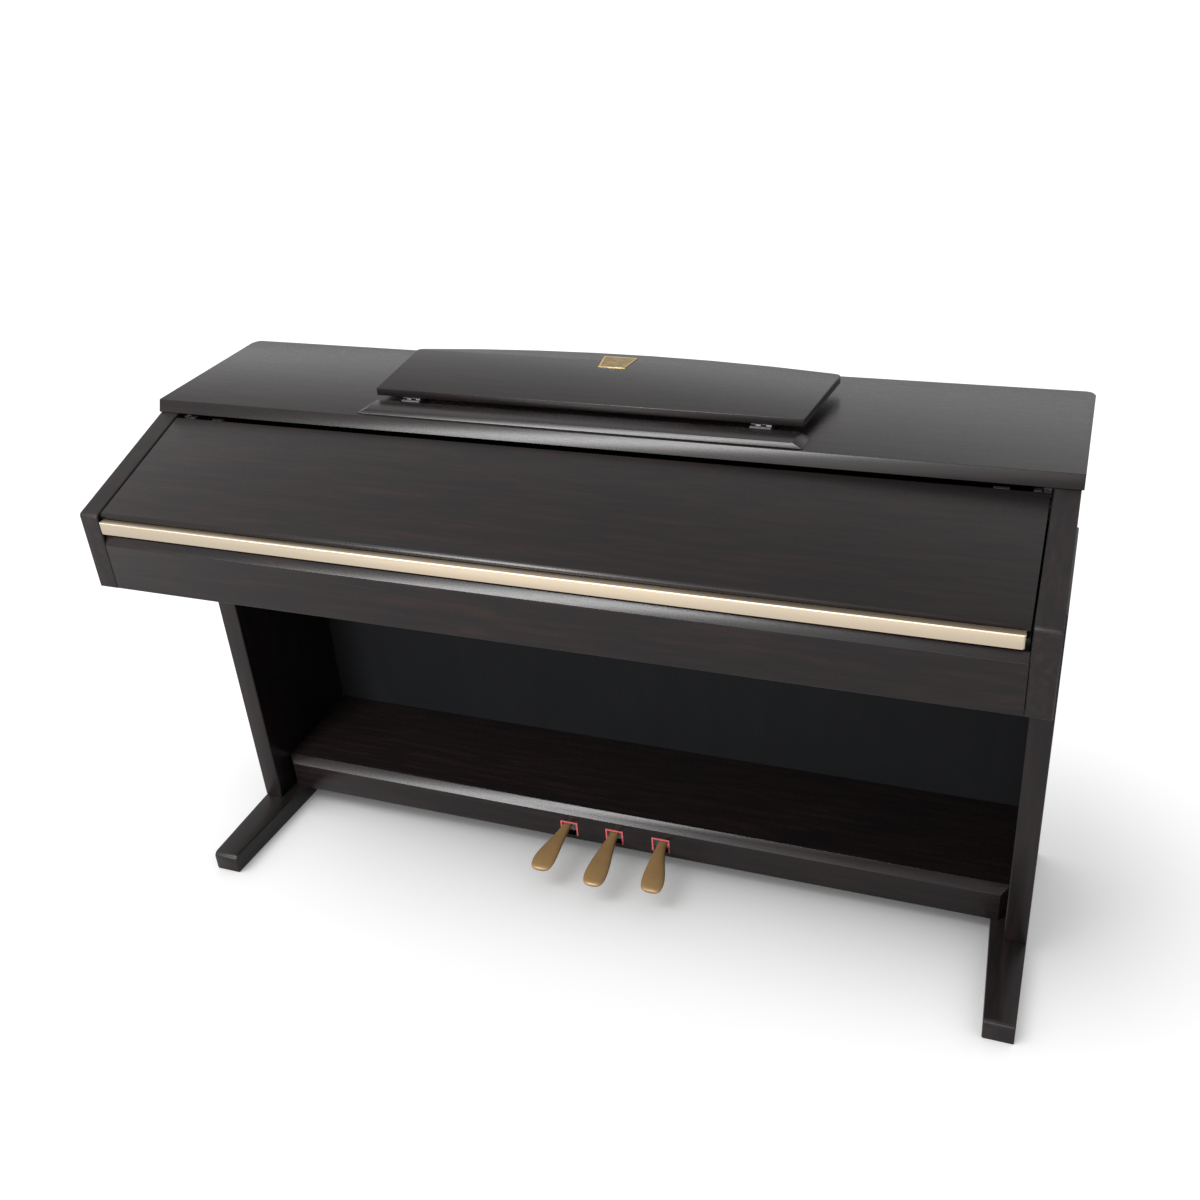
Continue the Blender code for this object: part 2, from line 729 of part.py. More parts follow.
def rack_profile():
    """Rail with rack teeth along its upper side."""
    pitch = math.pi * GEAR_MODULE
    tip_line = -PINION_RADIUS + 0.75 * GEAR_MODULE
    root_line = -PINION_RADIUS - 1.15 * GEAR_MODULE
    flank = math.tan(math.radians(20))
    half_at_pitch = pitch / 4 - 0.0002
    tip_half = half_at_pitch - 0.75 * GEAR_MODULE * flank
    root_half = half_at_pitch + 1.15 * GEAR_MODULE * flank
    first = -3
    last = math.ceil(COVER_TRAVEL / pitch) + 3
    points = [(last * pitch, RAIL_LOW), (last * pitch, root_line)]
    for tooth in range(last - 1, first, -1):
        middle = tooth * pitch
        points += [(middle + root_half, root_line), (middle + tip_half, tip_line),
                   (middle - tip_half, tip_line), (middle - root_half, root_line)]
    points += [(first * pitch, root_line), (first * pitch, RAIL_LOW)]
    return points


def make_cover_rails(nylon):
    """Rails on the arms: a rack for the pinion, and a plain ledge for the guide block."""
    rack = [rail_place(along, above) for along, above in rack_profile()]
    start = rack_profile()[-1][0]
    end = rack_profile()[0][0]
    ledge_shape = [(start, RAIL_LOW), (end, RAIL_LOW), (end, LEDGE_LINE), (start, LEDGE_LINE)]
    ledge = [rail_place(along, above) for along, above in ledge_shape]
    for side, sign in (("left", -1), ("right", 1)):
        low, high = sorted((sign * RACK_INNER, sign * (SIDE_INNER - GAP)))
        rail = prism("cover_rail_" + side, [rack], "X", low, high, nylon)
        low, high = sorted((sign * RAIL_INNER, sign * (RACK_INNER + 0.001)))
        fuse(rail, prism("rail_ledge_" + side, [ledge], "X", low, high, cutter=True))


def make_cover_guides(nylon):
    """Blocks that run on the rails' ledges and hold the shaft."""
    half = 0.011
    shape = [(-half, LEDGE_LINE + GAP), (half, LEDGE_LINE + GAP), (half, 0.004), (0.004, 0.0085),
             (-0.004, 0.0085), (-half, 0.004)]
    outer = [rail_place(along, above) for along, above in shape]
    bore = arc((SHAFT_Y, SHAFT_Z), SHAFT_RADIUS + BORE_PLAY, 0, 330, 11)
    guides = []
    for side, sign in (("left", -1), ("right", 1)):
        low, high = sorted((sign * 0.6400, sign * 0.6500))
        guides.append(prism("cover_guide_" + side, [outer, bore], "X", low, high, nylon))
    return guides


def make_sliding_cover(wood, gold, steel, nylon):
    """Cover, handle and shaft on their two axes: the slide, and the tilt about the shaft."""
    slide = make_axis("cover_slide_axis", (0, SHAFT_Y, SHAFT_Z))
    slide.rotation_euler = (-RAIL_FALL, 0, 0)
    tilt = make_axis("cover_tilt_axis", (0, SHAFT_Y, SHAFT_Z), slide)
    spin = make_axis("shaft_spin_axis", (0, SHAFT_Y, SHAFT_Z), slide)
    for piece in make_cover_guides(nylon):
        hang(piece, slide)
    for piece in (make_cover(wood), make_handle(gold), *make_cover_brackets(steel)):
        hang(piece, tilt)
    shaft = make_cover_shaft(steel)
    shade_round(shaft)
    hang(shaft, spin)
    make_cover_rails(nylon)


# Music rest

def rest_outline():
    """Plan of the music rest: sides that spread towards an arched far edge."""
    rise = REST_FAR - REST_CORNER_Y - 0.008
    corner_x = REST_REAR_HALF - 0.012
    radius = (corner_x ** 2 + rise ** 2) / (2 * rise)
    spread = math.degrees(math.asin(corner_x / radius))
    far = arc((0, REST_FAR - radius), radius, 90 - spread, 90 + spread, 14)
    return [(-REST_FRONT_HALF, REST_FRONT), (REST_FRONT_HALF, REST_FRONT), (REST_REAR_HALF, REST_CORNER_Y),
            (REST_REAR_HALF - 0.003, REST_CORNER_Y + 0.0055), *far,
            (-REST_REAR_HALF + 0.003, REST_CORNER_Y + 0.0055), (-REST_REAR_HALF, REST_CORNER_Y)]


def make_music_ledge(wood):
    """Low ledge in front of the rest, with a leaning front face and slanted ends."""
    low = TOP + GAP
    high = TOP + GAP + LEDGE_HEIGHT
    front = -0.0125
    lean = 0.0036
    slant = 0.0150
    profile = [(front, low), (0.0285, low), (0.0285, high), (front + lean, high)]
    ledge = prism("music_ledge", [profile], "X", -LEDGE_HALF, LEDGE_HALF, wood)
    for vertex in ledge.data.vertices:
        if vertex.co.z > (low + high) / 2:
            vertex.co.x -= math.copysign(slant, vertex.co.x)
    return ledge


def hinge_leaves(name, on_rest, steel):
    """One leaf of each rest hinge, with every other knuckle; the lower leaf holds the pin."""
    eye = 0.0032
    knuckle = 0.0075
    thickness = 0.0014
    if on_rest:
        far = REST_BOTTOM - GAP - REST_HINGE_Z
        near = far - thickness
    else:
        near = TOP + GAP - REST_HINGE_Z
        far = near + thickness
    leaves = []
    for side, centre in (("left", -0.272), ("right", 0.272)):
        start = centre - 2 * knuckle
        plate = box(
            name + "_" + side, (start, REST_HINGE_Y + 0.0045, REST_HINGE_Z + near),
            (start + 4 * knuckle, REST_HINGE_Y + 0.026, REST_HINGE_Z + far), steel,
        )
        for index in range(4):
            if (index % 2 == 0) == on_rest:
                continue
            shapes = [knuckle_outline(eye, near, far)]
            if on_rest:
                shapes.append(arc((0, 0), 0.0014, 0, 315, 7))
            outlines = [[(REST_HINGE_Y + y, REST_HINGE_Z + z) for y, z in part] for part in shapes]
            low = start + index * knuckle + GAP / 2
            fuse(plate, prism("knuckle", outlines, "X", low, low + knuckle - GAP, cutter=True))
        if not on_rest:
            fuse(plate, cylinder("hinge_pin", (start + 0.0005, REST_HINGE_Y, REST_HINGE_Z),
                                 (start + 4 * knuckle - 0.0005, REST_HINGE_Y, REST_HINGE_Z), 0.0010,
                                 sides=8, cutter=True))
        leaves.append(plate)
    return leaves


def knuckle_outline(eye, near, far):
    """Round knuckle that runs into a flat leaf above or below the hinge line."""
    sign = 1 if near > 0 else -1
    outer = arc((0, 0), eye, sign * 60, sign * 360, 10)
    inner_height = near if sign > 0 else far
    outer_height = far if sign > 0 else near
    return [*outer, (0.0035, inner_height), (0.0060, inner_height), (0.0060, outer_height),
            (0.0025, outer_height)]


def make_stay_brackets(steel):
    """Plate under the rest with two lugs and a pin for each stay."""
    pieces = []
    for side, x in (("left", -STAY_X), ("right", STAY_X)):
        y = REST_HINGE_Y + STAY_REACH
        plate = box("stay_bracket_" + side, (x - 0.014, y - 0.009, REST_BOTTOM - GAP - 0.0014),
                    (x + 0.014, y + 0.009, REST_BOTTOM - GAP), steel)
        for sign in (-1, 1):
            low, high = sorted((x + sign * 0.0095, x + sign * 0.0120))
            fuse(plate, box("lug", (low, y - 0.004, REST_HINGE_Z - 0.0030), (high, y + 0.004, REST_BOTTOM - 0.0010),
                            cutter=True))
        fuse(plate, cylinder("pin", (x - 0.0110, y, REST_HINGE_Z), (x + 0.0110, y, REST_HINGE_Z), 0.0014,
                             sides=8, cutter=True))
        pieces.append(plate)
    return pieces


def make_stays(steel, parent):
    """Two flat stays that fold flat under the rest, each with a round foot."""
    bore = arc((0, 0), 0.0014 + BORE_PLAY, 0, 315, 7)
    outer = eye_and_arm(0.0030, -0.0012, 0.0012, STAY_LENGTH)
    y = REST_HINGE_Y + STAY_REACH
    outlines = [[(y + a, REST_HINGE_Z + b) for a, b in shape] for shape in (outer, bore)]
    for side, x in (("left", -STAY_X), ("right", STAY_X)):
        stay = prism("rest_stay_" + side, outlines, "X", x - 0.0080, x + 0.0080, steel)
        foot_y = y + STAY_LENGTH
        fuse(stay, cylinder("stay_foot_" + side, (x - 0.018, foot_y, REST_HINGE_Z), (x + 0.018, foot_y, REST_HINGE_Z),
                            0.0030, sides=12, cutter=True))
        axis = make_axis("rest_stay_" + side + "_axis", (x, y, REST_HINGE_Z), parent)
        hang(stay, axis)


def make_music_rest(wood, steel):
    """Folding music rest with its hinges, stays and ledge."""
    axis = make_axis("music_rest_axis", (0, REST_HINGE_Y, REST_HINGE_Z))
    rest = prism("music_rest", [rest_outline()], "Z", REST_BOTTOM, REST_BOTTOM + REST_THICKNESS, wood)
    soften(rest, 0.0010)
    hang(rest, axis)
    for piece in hinge_leaves("rest_hinge", True, steel) + make_stay_brackets(steel):
        hang(piece, axis)
    hinge_leaves("ledge_hinge", False, steel)
    make_stays(steel, axis)
    make_music_ledge(wood)


# Stand

def make_legs(wood):
    """Side panels that carry the case."""
    for side, sign in (("left", -1), ("right", 1)):
        low, high = sorted((sign * LEG_INNER, sign * LEG_OUTER))
        box("leg_" + side, (low, LEG_FRONT, FOOT_HEIGHT + GAP), (high, CASE_BACK, CASE_BOTTOM - GAP), wood,
            edge=0.0015)


def make_feet(wood):
    """Floor runners, wider than the legs, that taper towards their rounded tips."""
    for side, sign in (("left", -1), ("right", 1)):
        tip = 0.009
        profile = [(FOOT_FRONT, 0), (CASE_BACK, 0), (CASE_BACK, FOOT_HEIGHT), (FOOT_TAPER_END, FOOT_HEIGHT),
                   *arc((FOOT_FRONT + tip, FOOT_HEIGHT - tip), tip, 90, 180, 4)]
        low, high = sorted((sign * FOOT_INNER, sign * LEG_OUTER))
        foot = prism("foot_" + side, [profile], "X", low, high, wood)
        wedge = [(sign * FOOT_INNER, FOOT_TAPER_END), (sign * FOOT_TIP_INNER, FOOT_FRONT - 0.0001),
                 (sign * FOOT_TIP_INNER, FOOT_FRONT - 0.05), (sign * (FOOT_INNER - 0.05), FOOT_FRONT - 0.05),
                 (sign * (FOOT_INNER - 0.05), FOOT_TAPER_END)]
        cut(foot, prism("foot_taper_" + side, [wedge], "Z", -0.01, FOOT_HEIGHT + 0.01, cutter=True))


def make_stand_panels(wood, dark):
    """Back panel and the shelf over the pedal unit."""
    half = LEG_INNER - GAP
    box("back_panel", (-half, 0.2503, FOOT_HEIGHT + GAP), (half, CASE_BACK, CASE_BOTTOM - GAP), dark,
        edge=0.0008)
    shelf_front = BOX_FACE + BOX_CHAMFER_RUN + GAP
    box("shelf_board", (-half, shelf_front, BOX_TOP - BOARD), (half, 0.2500, BOX_TOP), wood)


def make_pedal_board(wood):
    """Front board of the stand: a chamfer along its top, canted ends and three pedal slots."""
    half = LEG_INNER - GAP
    rear = BOX_FACE + BOX_CHAMFER_RUN
    low = FOOT_HEIGHT + GAP
    profile = [(BOX_FACE, low), (rear, low), (rear, BOX_TOP), (BOX_FACE, BOX_TOP - BOX_CHAMFER_RISE)]
    board = prism("pedal_board", [profile], "X", -half, half, wood)
    corner = bmesh.new()
    for sign in (-1, 1):
        place = Matrix.Translation((sign * half, BOX_FACE, 0.07))
        turn = Matrix.Rotation(math.radians(45), 4, "Z")
        side = BOX_CANT * math.sqrt(2)
        bmesh.ops.create_cube(corner, size=1.0, matrix=place @ turn @ Matrix.Diagonal((side, side, 0.1, 1.0)))
    cut(board, object_from_bmesh("board_cants", corner, cutter=True))
    slots = bmesh.new()
    for centre in PEDAL_CENTRES:
        add_box(slots, (centre - SLOT_HALF - FELT, BOX_FACE - 0.01, SLOT_LOW),
                (centre + SLOT_HALF + FELT, rear + 0.01, SLOT_HIGH + FELT))
    cut(board, object_from_bmesh("pedal_slots", slots, cutter=True))
    return board


def make_pedal_felts(felt):
    """Felt linings round the upper part of the pedal slots."""
    outer = SLOT_HALF + FELT - GAP
    for side, centre in zip(("left", "middle", "right"), PEDAL_CENTRES):
        outline = [(centre - outer, SLOT_LOW + GAP), (centre - SLOT_HALF, SLOT_LOW + GAP),
                   (centre - SLOT_HALF, SLOT_HIGH), (centre + SLOT_HALF, SLOT_HIGH),
                   (centre + SLOT_HALF, SLOT_LOW + GAP), (centre + outer, SLOT_LOW + GAP),
                   (centre + outer, SLOT_HIGH + FELT - GAP), (centre - outer, SLOT_HIGH + FELT - GAP)]
        prism("pedal_felt_" + side, [outline], "Y", BOX_FACE - 0.0006, BOX_FACE + 0.012, felt)


def pedal_sections(centre, splay, extra):
    """Sections of a pedal as (y, x, half width, upper height, thickness), pivot end first."""
    head = centre + splay
    return [
        (0.168, centre, 0.0080, 0.0655, 0.0110),
        (0.060, centre, 0.0080, 0.0680, 0.0110),
        (0.030, centre, 0.0098, 0.0688, 0.0105),
        (0.010, centre + splay * 0.15, 0.0125, 0.0684, 0.0100),
        (-0.010, centre + splay * 0.45, 0.0158, 0.0668, 0.0098),
        (-0.030 - extra * 0.4, centre + splay * 0.80, 0.0192, 0.0640, 0.0096),
        (-0.046 - extra * 0.7, head, 0.0207, 0.0608, 0.0094),
        (-0.058 - extra * 0.9, head + splay * 0.1, 0.0192, 0.0576, 0.0090),
        (-0.066 - extra, head + splay * 0.15, 0.0150, 0.0548, 0.0082),
        (-0.0715 - extra, head + splay * 0.2, 0.0080, 0.0526, 0.0070),
    ]


def pedal_ring(bm, section):
    """Rounded cross-section of a pedal, softer above than below."""
    y, x, half, top, thick = section
    side = min(0.004, half * 0.5)
    rise = thick * 0.34
    points = [
        (-half, top - thick * 0.5), (-half + side * 0.35, top - rise * 0.45), (-half + side, top),
        (half - side, top), (half - side * 0.35, top - rise * 0.45), (half, top - thick * 0.5),
        (half - side * 0.6, top - thick), (-half + side * 0.6, top - thick),
    ]
    return [bm.verts.new((x + across, y, height)) for across, height in points]


def make_pedal(name, centre, splay, extra, brass):
    """Pedal lever: loft from a plain bar inside the box to a broad rounded head."""
    bm = bmesh.new()
    rings = [pedal_ring(bm, section) for section in pedal_sections(centre, splay, extra)]
    for first, second in zip(rings, rings[1:]):
        for index in range(len(first)):
            after = (index + 1) % len(first)
            bm.faces.new((first[index], first[after], second[after], second[index]))
    bm.faces.new(rings[0])
    bm.faces.new(rings[-1])
    pedal = object_from_bmesh(name, bm, brass)
    shade_round(pedal, 50)
    cut(pedal, cylinder(name + "_bore", (centre - 0.03, PEDAL_PIVOT_Y, PEDAL_PIVOT_Z),
                        (centre + 0.03, PEDAL_PIVOT_Y, PEDAL_PIVOT_Z), PEDAL_PIN + BORE_PLAY, sides=12, cutter=True))
    hang(pedal, make_axis(name + "_axis", (centre, PEDAL_PIVOT_Y, PEDAL_PIVOT_Z)))


def make_pedal_bracket(steel):
    """Steel bracket under the shelf with lugs and one pin for the three pedals."""
    under = BOX_TOP - BOARD - GAP
    end = PEDAL_CENTRES[-1] + 0.035
    bracket = box("pedal_bracket", (-end, 0.115, under - 0.003), (end, 0.185, under), steel)
    lugs = bmesh.new()
    for centre in PEDAL_CENTRES:
        for sign in (-1, 1):
            low, high = sorted((centre + sign * 0.0125, centre + sign * 0.0155))
            add_box(lugs, (low, 0.140, PEDAL_PIVOT_Z - 0.008), (high, 0.160, under - 0.001))
    fuse(bracket, object_from_bmesh("pedal_lugs", lugs, cutter=True))
    fuse(bracket, cylinder("pedal_pin", (-end + 0.012, PEDAL_PIVOT_Y, PEDAL_PIVOT_Z),
                           (end - 0.012, PEDAL_PIVOT_Y, PEDAL_PIVOT_Z), PEDAL_PIN, sides=12, cutter=True))
    return bracket


# Sound and electrics

def make_speakers(black):
    """Two drivers that face down through the key bed's slots."""
    flange = 0.068
    profile = [
        (0.0, 0.046), (0.026, 0.046), (0.028, 0.034), (0.040, 0.030), (0.058, 0.008), (flange, 0.006),
        (flange, 0.0), (0.058, 0.0), (0.054, 0.003), (0.020, 0.020), (0.0, 0.024),
    ]
    for side, x in (("left", -SPEAKER_X), ("right", SPEAKER_X)):
        speaker = turned("speaker_" + side, profile, (x, SPEAKER_Y, 0.660 + GAP), black)
        shade_round(speaker)


def make_main_board(green):
    """Circuit board on four stand-offs with its largest components."""
    floor = 0.660 + GAP
    board = box("main_board", (-0.20, 0.050, floor + 0.008), (0.02, 0.190, floor + 0.0096), green)
    posts = bmesh.new()
    for x in (-0.192, 0.012):
        for y in (0.058, 0.182):
            add_box(posts, (x - 0.003, y - 0.003, floor), (x + 0.003, y + 0.003, floor + 0.009))
    parts = ((-0.150, 0.120, 0.018, 0.018, 0.004), (-0.085, 0.120, 0.014, 0.014, 0.004),
             (-0.030, 0.090, 0.012, 0.010, 0.012), (-0.100, 0.168, 0.050, 0.006, 0.010))
    for x, y, half_x, half_y, height in parts:
        add_box(posts, (x - half_x, y - half_y, floor + 0.009), (x + half_x, y + half_y, floor + 0.0096 + height))
    fuse(board, object_from_bmesh("board_components", posts, cutter=True))
    return board


def make_power_supply(steel):
    """Sheet-metal box with a flange on two sides."""
    floor = 0.660 + GAP
    profile = [(0.140, floor), (0.280, floor), (0.280, floor + 0.0015), (0.266, floor + 0.0015),
               (0.266, floor + 0.038), (0.154, floor + 0.038), (0.154, floor + 0.0015), (0.140, floor + 0.0015)]
    return prism("power_supply", [profile], "Y", 0.080, 0.180, steel)


def make_mains_inlet(black):
    """Mains inlet in the key bed, open downwards, with two contact pins."""
    x, y = INLET_PLACE
    low = CASE_BOTTOM + 0.001 - GAP - 0.0025
    inlet = box("mains_inlet", (x - 0.0165, y - 0.0125, low + 0.001), (x + 0.0165, y + 0.0125, 0.6665), black)
    fuse(inlet, box("inlet_flange", (x - 0.024, y - 0.018, low), (x + 0.024, y + 0.018, low + 0.0025), cutter=True))
    cut(inlet, box("inlet_recess", (x - 0.0125, y - 0.0085, low - 0.01), (x + 0.0125, y + 0.0085, 0.6560),
                   cutter=True))
    pins = bmesh.new()
    for sign in (-1, 1):
        add_box(pins, (x + sign * 0.0045 - 0.0012, y - 0.0012, 0.6460),
                (x + sign * 0.0045 + 0.0012, y + 0.0012, 0.6580))
    fuse(inlet, object_from_bmesh("inlet_pins", pins, cutter=True))
    return inlet


def make_headphone_unit(black):
    """Socket box under the key bed with two headphone sockets in its front."""
    x, y = HEADPHONE_PLACE
    top = CASE_BOTTOM + 0.001 - GAP
    unit = box("headphone_unit", (x - 0.030, y, top - 0.024), (x + 0.030, y + 0.050, top), black, edge=0.0010)
    for sign in (-1, 1):
        centre = x + sign * 0.014
        cut(unit, cylinder("socket", (centre, y - 0.01, top - 0.012), (centre, y + 0.030, top - 0.012), 0.0036,
                           sides=8, cutter=True))
    return unit


def make_controls(black, grey):
    """Power button, volume slider and two function buttons in the panel behind the keys."""
    turn = Matrix.Rotation(PANEL_SLOPE, 4, "X")
    for name, x, half_x, half_along, top in CONTROLS:
        bm = bmesh.new()
        depth = 0.0065
        size = Matrix.Diagonal((2 * half_x, 2 * half_along, top + depth, 1.0))
        y, z = panel_place(CONTROL_ALONG, (top - depth) / 2)
        bmesh.ops.create_cube(bm, size=1.0, matrix=Matrix.Translation((x, y, z)) @ turn @ size)
        control = object_from_bmesh(name, bm, grey if name == "volume_slider" else black)
        if name == "volume_slider":
            cap = bmesh.new()
            size = Matrix.Diagonal((0.010, 0.0080, 0.005, 1.0))
            y, z = panel_place(CONTROL_ALONG, 0.0035)
            bmesh.ops.create_cube(cap, size=1.0, matrix=Matrix.Translation((x, y, z)) @ turn @ size)
            fuse(control, object_from_bmesh("slider_cap", cap, cutter=True))
        else:
            soften(control, 0.0008)
        y, z = panel_place(CONTROL_ALONG, 0.0)
        hang(control, make_axis(name + "_axis", (x, y, z)))


def main():
    """Model the whole piano."""
    clear_scene()
    make_collections()
    rosewood = make_material("rosewood_laminate", (0.030, 0.020, 0.018), 0.38)
    dark_board = make_material("dark_backing", (0.016, 0.017, 0.020), 0.55)
    gold = make_material("champagne_metal", (0.72, 0.58, 0.38), 0.30, 1.0)
    brass = make_material("pedal_brass", (0.62, 0.46, 0.24), 0.32, 1.0)
    steel = make_material("plated_steel", (0.55, 0.55, 0.56), 0.35, 1.0)
    nylon = make_material("nylon", (0.62, 0.60, 0.55), 0.50)
    black = make_material("black_plastic", (0.020, 0.020, 0.022), 0.45)
    grey = make_material("grey_plastic", (0.30, 0.30, 0.31), 0.45)
    ivory = make_material("white_key", (0.86, 0.85, 0.80), 0.25)
    ebony = make_material("black_key", (0.018, 0.018, 0.018), 0.35)
    felt = make_material("red_felt", (0.45, 0.10, 0.10), 0.95)
    green = make_material("circuit_board", (0.05, 0.20, 0.10), 0.50)

    make_top_board(rosewood)
    make_arms(rosewood)
    make_key_bed(dark_board)
    make_key_slip(rosewood)
    make_case_back(dark_board)
    make_control_panel(black)
    make_cheek_blocks(rosewood)
    make_key_frame(steel)
    make_key_felt(felt)
    make_keyboard(ivory, ebony)
    make_sliding_cover(rosewood, gold, steel, nylon)
    make_music_rest(rosewood, steel)
    make_legs(rosewood)
    make_feet(rosewood)
    make_stand_panels(rosewood, dark_board)
    make_pedal_board(rosewood)
    make_pedal_felts(felt)
    for name, centre, splay, extra in (
        ("pedal_left", -PEDAL_PITCH, -PEDAL_SPLAY, 0.0),
        ("pedal_middle", 0.0, 0.0, 0.012),
        ("pedal_right", PEDAL_PITCH, PEDAL_SPLAY, 0.0),
    ):
        make_pedal(name, centre, splay, extra, brass)
    make_pedal_bracket(steel)
    make_speakers(black)
    make_main_board(green)
    make_power_supply(steel)
    make_mains_inlet(black)
    make_headphone_unit(black)
    make_controls(black, grey)


main()
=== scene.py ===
# %% [markdown]
# # The looks of a console digital piano
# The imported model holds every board, key, hinge and pedal at its real size. This lesson dresses it:
# a camera at the photograph's angle, soft studio light, procedural finishes, and finer surfaces for
# the pieces that are seen most.

import json
import math

import bpy
from mathutils import Matrix, Vector


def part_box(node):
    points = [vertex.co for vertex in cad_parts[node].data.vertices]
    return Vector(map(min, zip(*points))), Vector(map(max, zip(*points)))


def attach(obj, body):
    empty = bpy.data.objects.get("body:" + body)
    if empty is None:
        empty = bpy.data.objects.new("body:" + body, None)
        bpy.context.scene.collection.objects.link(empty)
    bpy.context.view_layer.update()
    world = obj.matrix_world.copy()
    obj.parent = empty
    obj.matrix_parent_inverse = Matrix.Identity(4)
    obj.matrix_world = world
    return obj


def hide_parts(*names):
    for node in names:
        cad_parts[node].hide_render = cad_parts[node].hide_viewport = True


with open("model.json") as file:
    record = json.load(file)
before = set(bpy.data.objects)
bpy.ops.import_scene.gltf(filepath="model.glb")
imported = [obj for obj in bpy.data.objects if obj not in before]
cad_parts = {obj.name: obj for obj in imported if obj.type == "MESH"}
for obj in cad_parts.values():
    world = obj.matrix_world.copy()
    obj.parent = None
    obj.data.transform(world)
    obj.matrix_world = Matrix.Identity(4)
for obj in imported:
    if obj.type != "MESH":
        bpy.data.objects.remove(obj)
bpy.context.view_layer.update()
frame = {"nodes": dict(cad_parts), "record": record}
record = frame["record"]

# %% [markdown]
# ## Camera
# The photograph was taken from the front right and well above the top board. A camera could be
# placed by eye, but fitting a pinhole camera to the straight edges gives its place, its turn and
# its focal length at once, so those fitted values are used here.

# %% Place the camera
CAMERA_PLACE = Vector((0.6958, -1.5973, 1.5821))
CAMERA_YAW = math.radians(22.776)
CAMERA_PITCH = math.radians(-30.356)
CAMERA_ROLL = math.radians(-4.769)
FOCAL_PIXELS = 1307.5
PHOTO_PIXELS = 1200
SENSOR = 36.0


def add_camera():
    """A camera whose axes follow from yaw, pitch and roll."""
    forward = Vector((
        -math.sin(CAMERA_YAW) * math.cos(CAMERA_PITCH),
        math.cos(CAMERA_YAW) * math.cos(CAMERA_PITCH),
        math.sin(CAMERA_PITCH),
    ))
    level = Vector((math.cos(CAMERA_YAW), math.sin(CAMERA_YAW), 0.0))
    upright = level.cross(forward)
    right = math.cos(CAMERA_ROLL) * level + math.sin(CAMERA_ROLL) * upright
    up = -math.sin(CAMERA_ROLL) * level + math.cos(CAMERA_ROLL) * upright
    data = bpy.data.cameras.new("photo_camera")
    data.sensor_width = SENSOR
    data.lens = FOCAL_PIXELS / PHOTO_PIXELS * SENSOR
    camera = bpy.data.objects.new("photo_camera", data)
    turn = Matrix((right, up, -forward)).transposed().to_4x4()
    camera.matrix_world = Matrix.Translation(CAMERA_PLACE) @ turn
    bpy.context.scene.collection.objects.link(camera)
    bpy.context.scene.camera = camera
    return camera


print("lens", round(add_camera().data.lens, 2), "mm")

# %% [markdown]
# ## Floor
# A pale floor carries the shadow. It could be lit until it is white, but that would bleach the
# piano as well, so it glows a little where it is seen. Ambient occlusion takes the glow away close
# to the boards, where it would shine through the slots of the pedals.

# %% Lay the floor
FLOOR_COLOUR = (0.90, 0.90, 0.90, 1.0)
FLOOR_SIZE = 120
FLOOR_ROUGHNESS = 0.9
FLOOR_GLOW = 0.46
GLOW_CLEARANCE = 0.4


def add_seen(tree):
    """One where the camera, a mirror or a glass looks, and nought for the light on the piano."""
    path = tree.nodes.new("ShaderNodeLightPath")
    either = tree.nodes.new("ShaderNodeMath")
    either.operation = "MAXIMUM"
    seen = tree.nodes.new("ShaderNodeMath")
    seen.operation = "MAXIMUM"
    tree.links.new(path.outputs["Is Glossy Ray"], either.inputs[0])
    tree.links.new(path.outputs["Is Transmission Ray"], either.inputs[1])
    tree.links.new(path.outputs["Is Camera Ray"], seen.inputs[0])
    tree.links.new(either.outputs[0], seen.inputs[1])
    return seen.outputs[0]


def make_floor_paint():
    """Matt white that glows where it is seen and where nothing stands near."""
    material = bpy.data.materials.new("studio_floor")
    material.use_nodes = True
    tree = material.node_tree
    shader = tree.nodes["Principled BSDF"]
    shader.inputs["Base Color"].default_value = FLOOR_COLOUR
    shader.inputs["Roughness"].default_value = FLOOR_ROUGHNESS
    shader.inputs["Specular IOR Level"].default_value = 0.0
    shader.inputs["Emission Color"].default_value = (1.0, 1.0, 1.0, 1.0)
    open_sky = tree.nodes.new("ShaderNodeAmbientOcclusion")
    open_sky.inputs["Color"].default_value = (FLOOR_GLOW, FLOOR_GLOW, FLOOR_GLOW, 1.0)
    open_sky.inputs["Distance"].default_value = GLOW_CLEARANCE
    lift = tree.nodes.new("ShaderNodeMath")
    lift.operation = "MULTIPLY"
    tree.links.new(add_seen(tree), lift.inputs[0])
    tree.links.new(open_sky.outputs["Color"], lift.inputs[1])
    tree.links.new(lift.outputs[0], shader.inputs["Emission Strength"])
    return material


bpy.ops.mesh.primitive_plane_add(size=FLOOR_SIZE)
floor = bpy.context.object
floor.name = "studio_floor"
floor.data.materials.append(make_floor_paint())
print("floor", FLOOR_SIZE, "m wide")

# %% [markdown]
# ## World
# The world is the light from all around. An even grey lights every corner of the piano alike, and
# the world is white where it is seen. An image of a studio could be used instead, but it would show
# up in the boards, so the world is plain.

# %% Light the world
AMBIENT = 0.45


def light_world():
    """An even grey for the light on the piano, and white where it is seen."""
    world = bpy.data.worlds.new("studio")
    bpy.context.scene.world = world
    world.use_nodes = True
    nodes = world.node_tree.nodes
    links = world.node_tree.links
    background = nodes["Background"]
    background.inputs["Color"].default_value = (1.0, 1.0, 1.0, 1.0)
    strength = nodes.new("ShaderNodeMapRange")
    strength.inputs["To Min"].default_value = AMBIENT
    strength.inputs["To Max"].default_value = 1.0
    links.new(add_seen(world.node_tree), strength.inputs["Value"])
    links.new(strength.outputs["Result"], background.inputs["Strength"])


light_world()
bpy.context.scene.view_settings.view_transform = "Standard"
print("ambient light", AMBIENT)

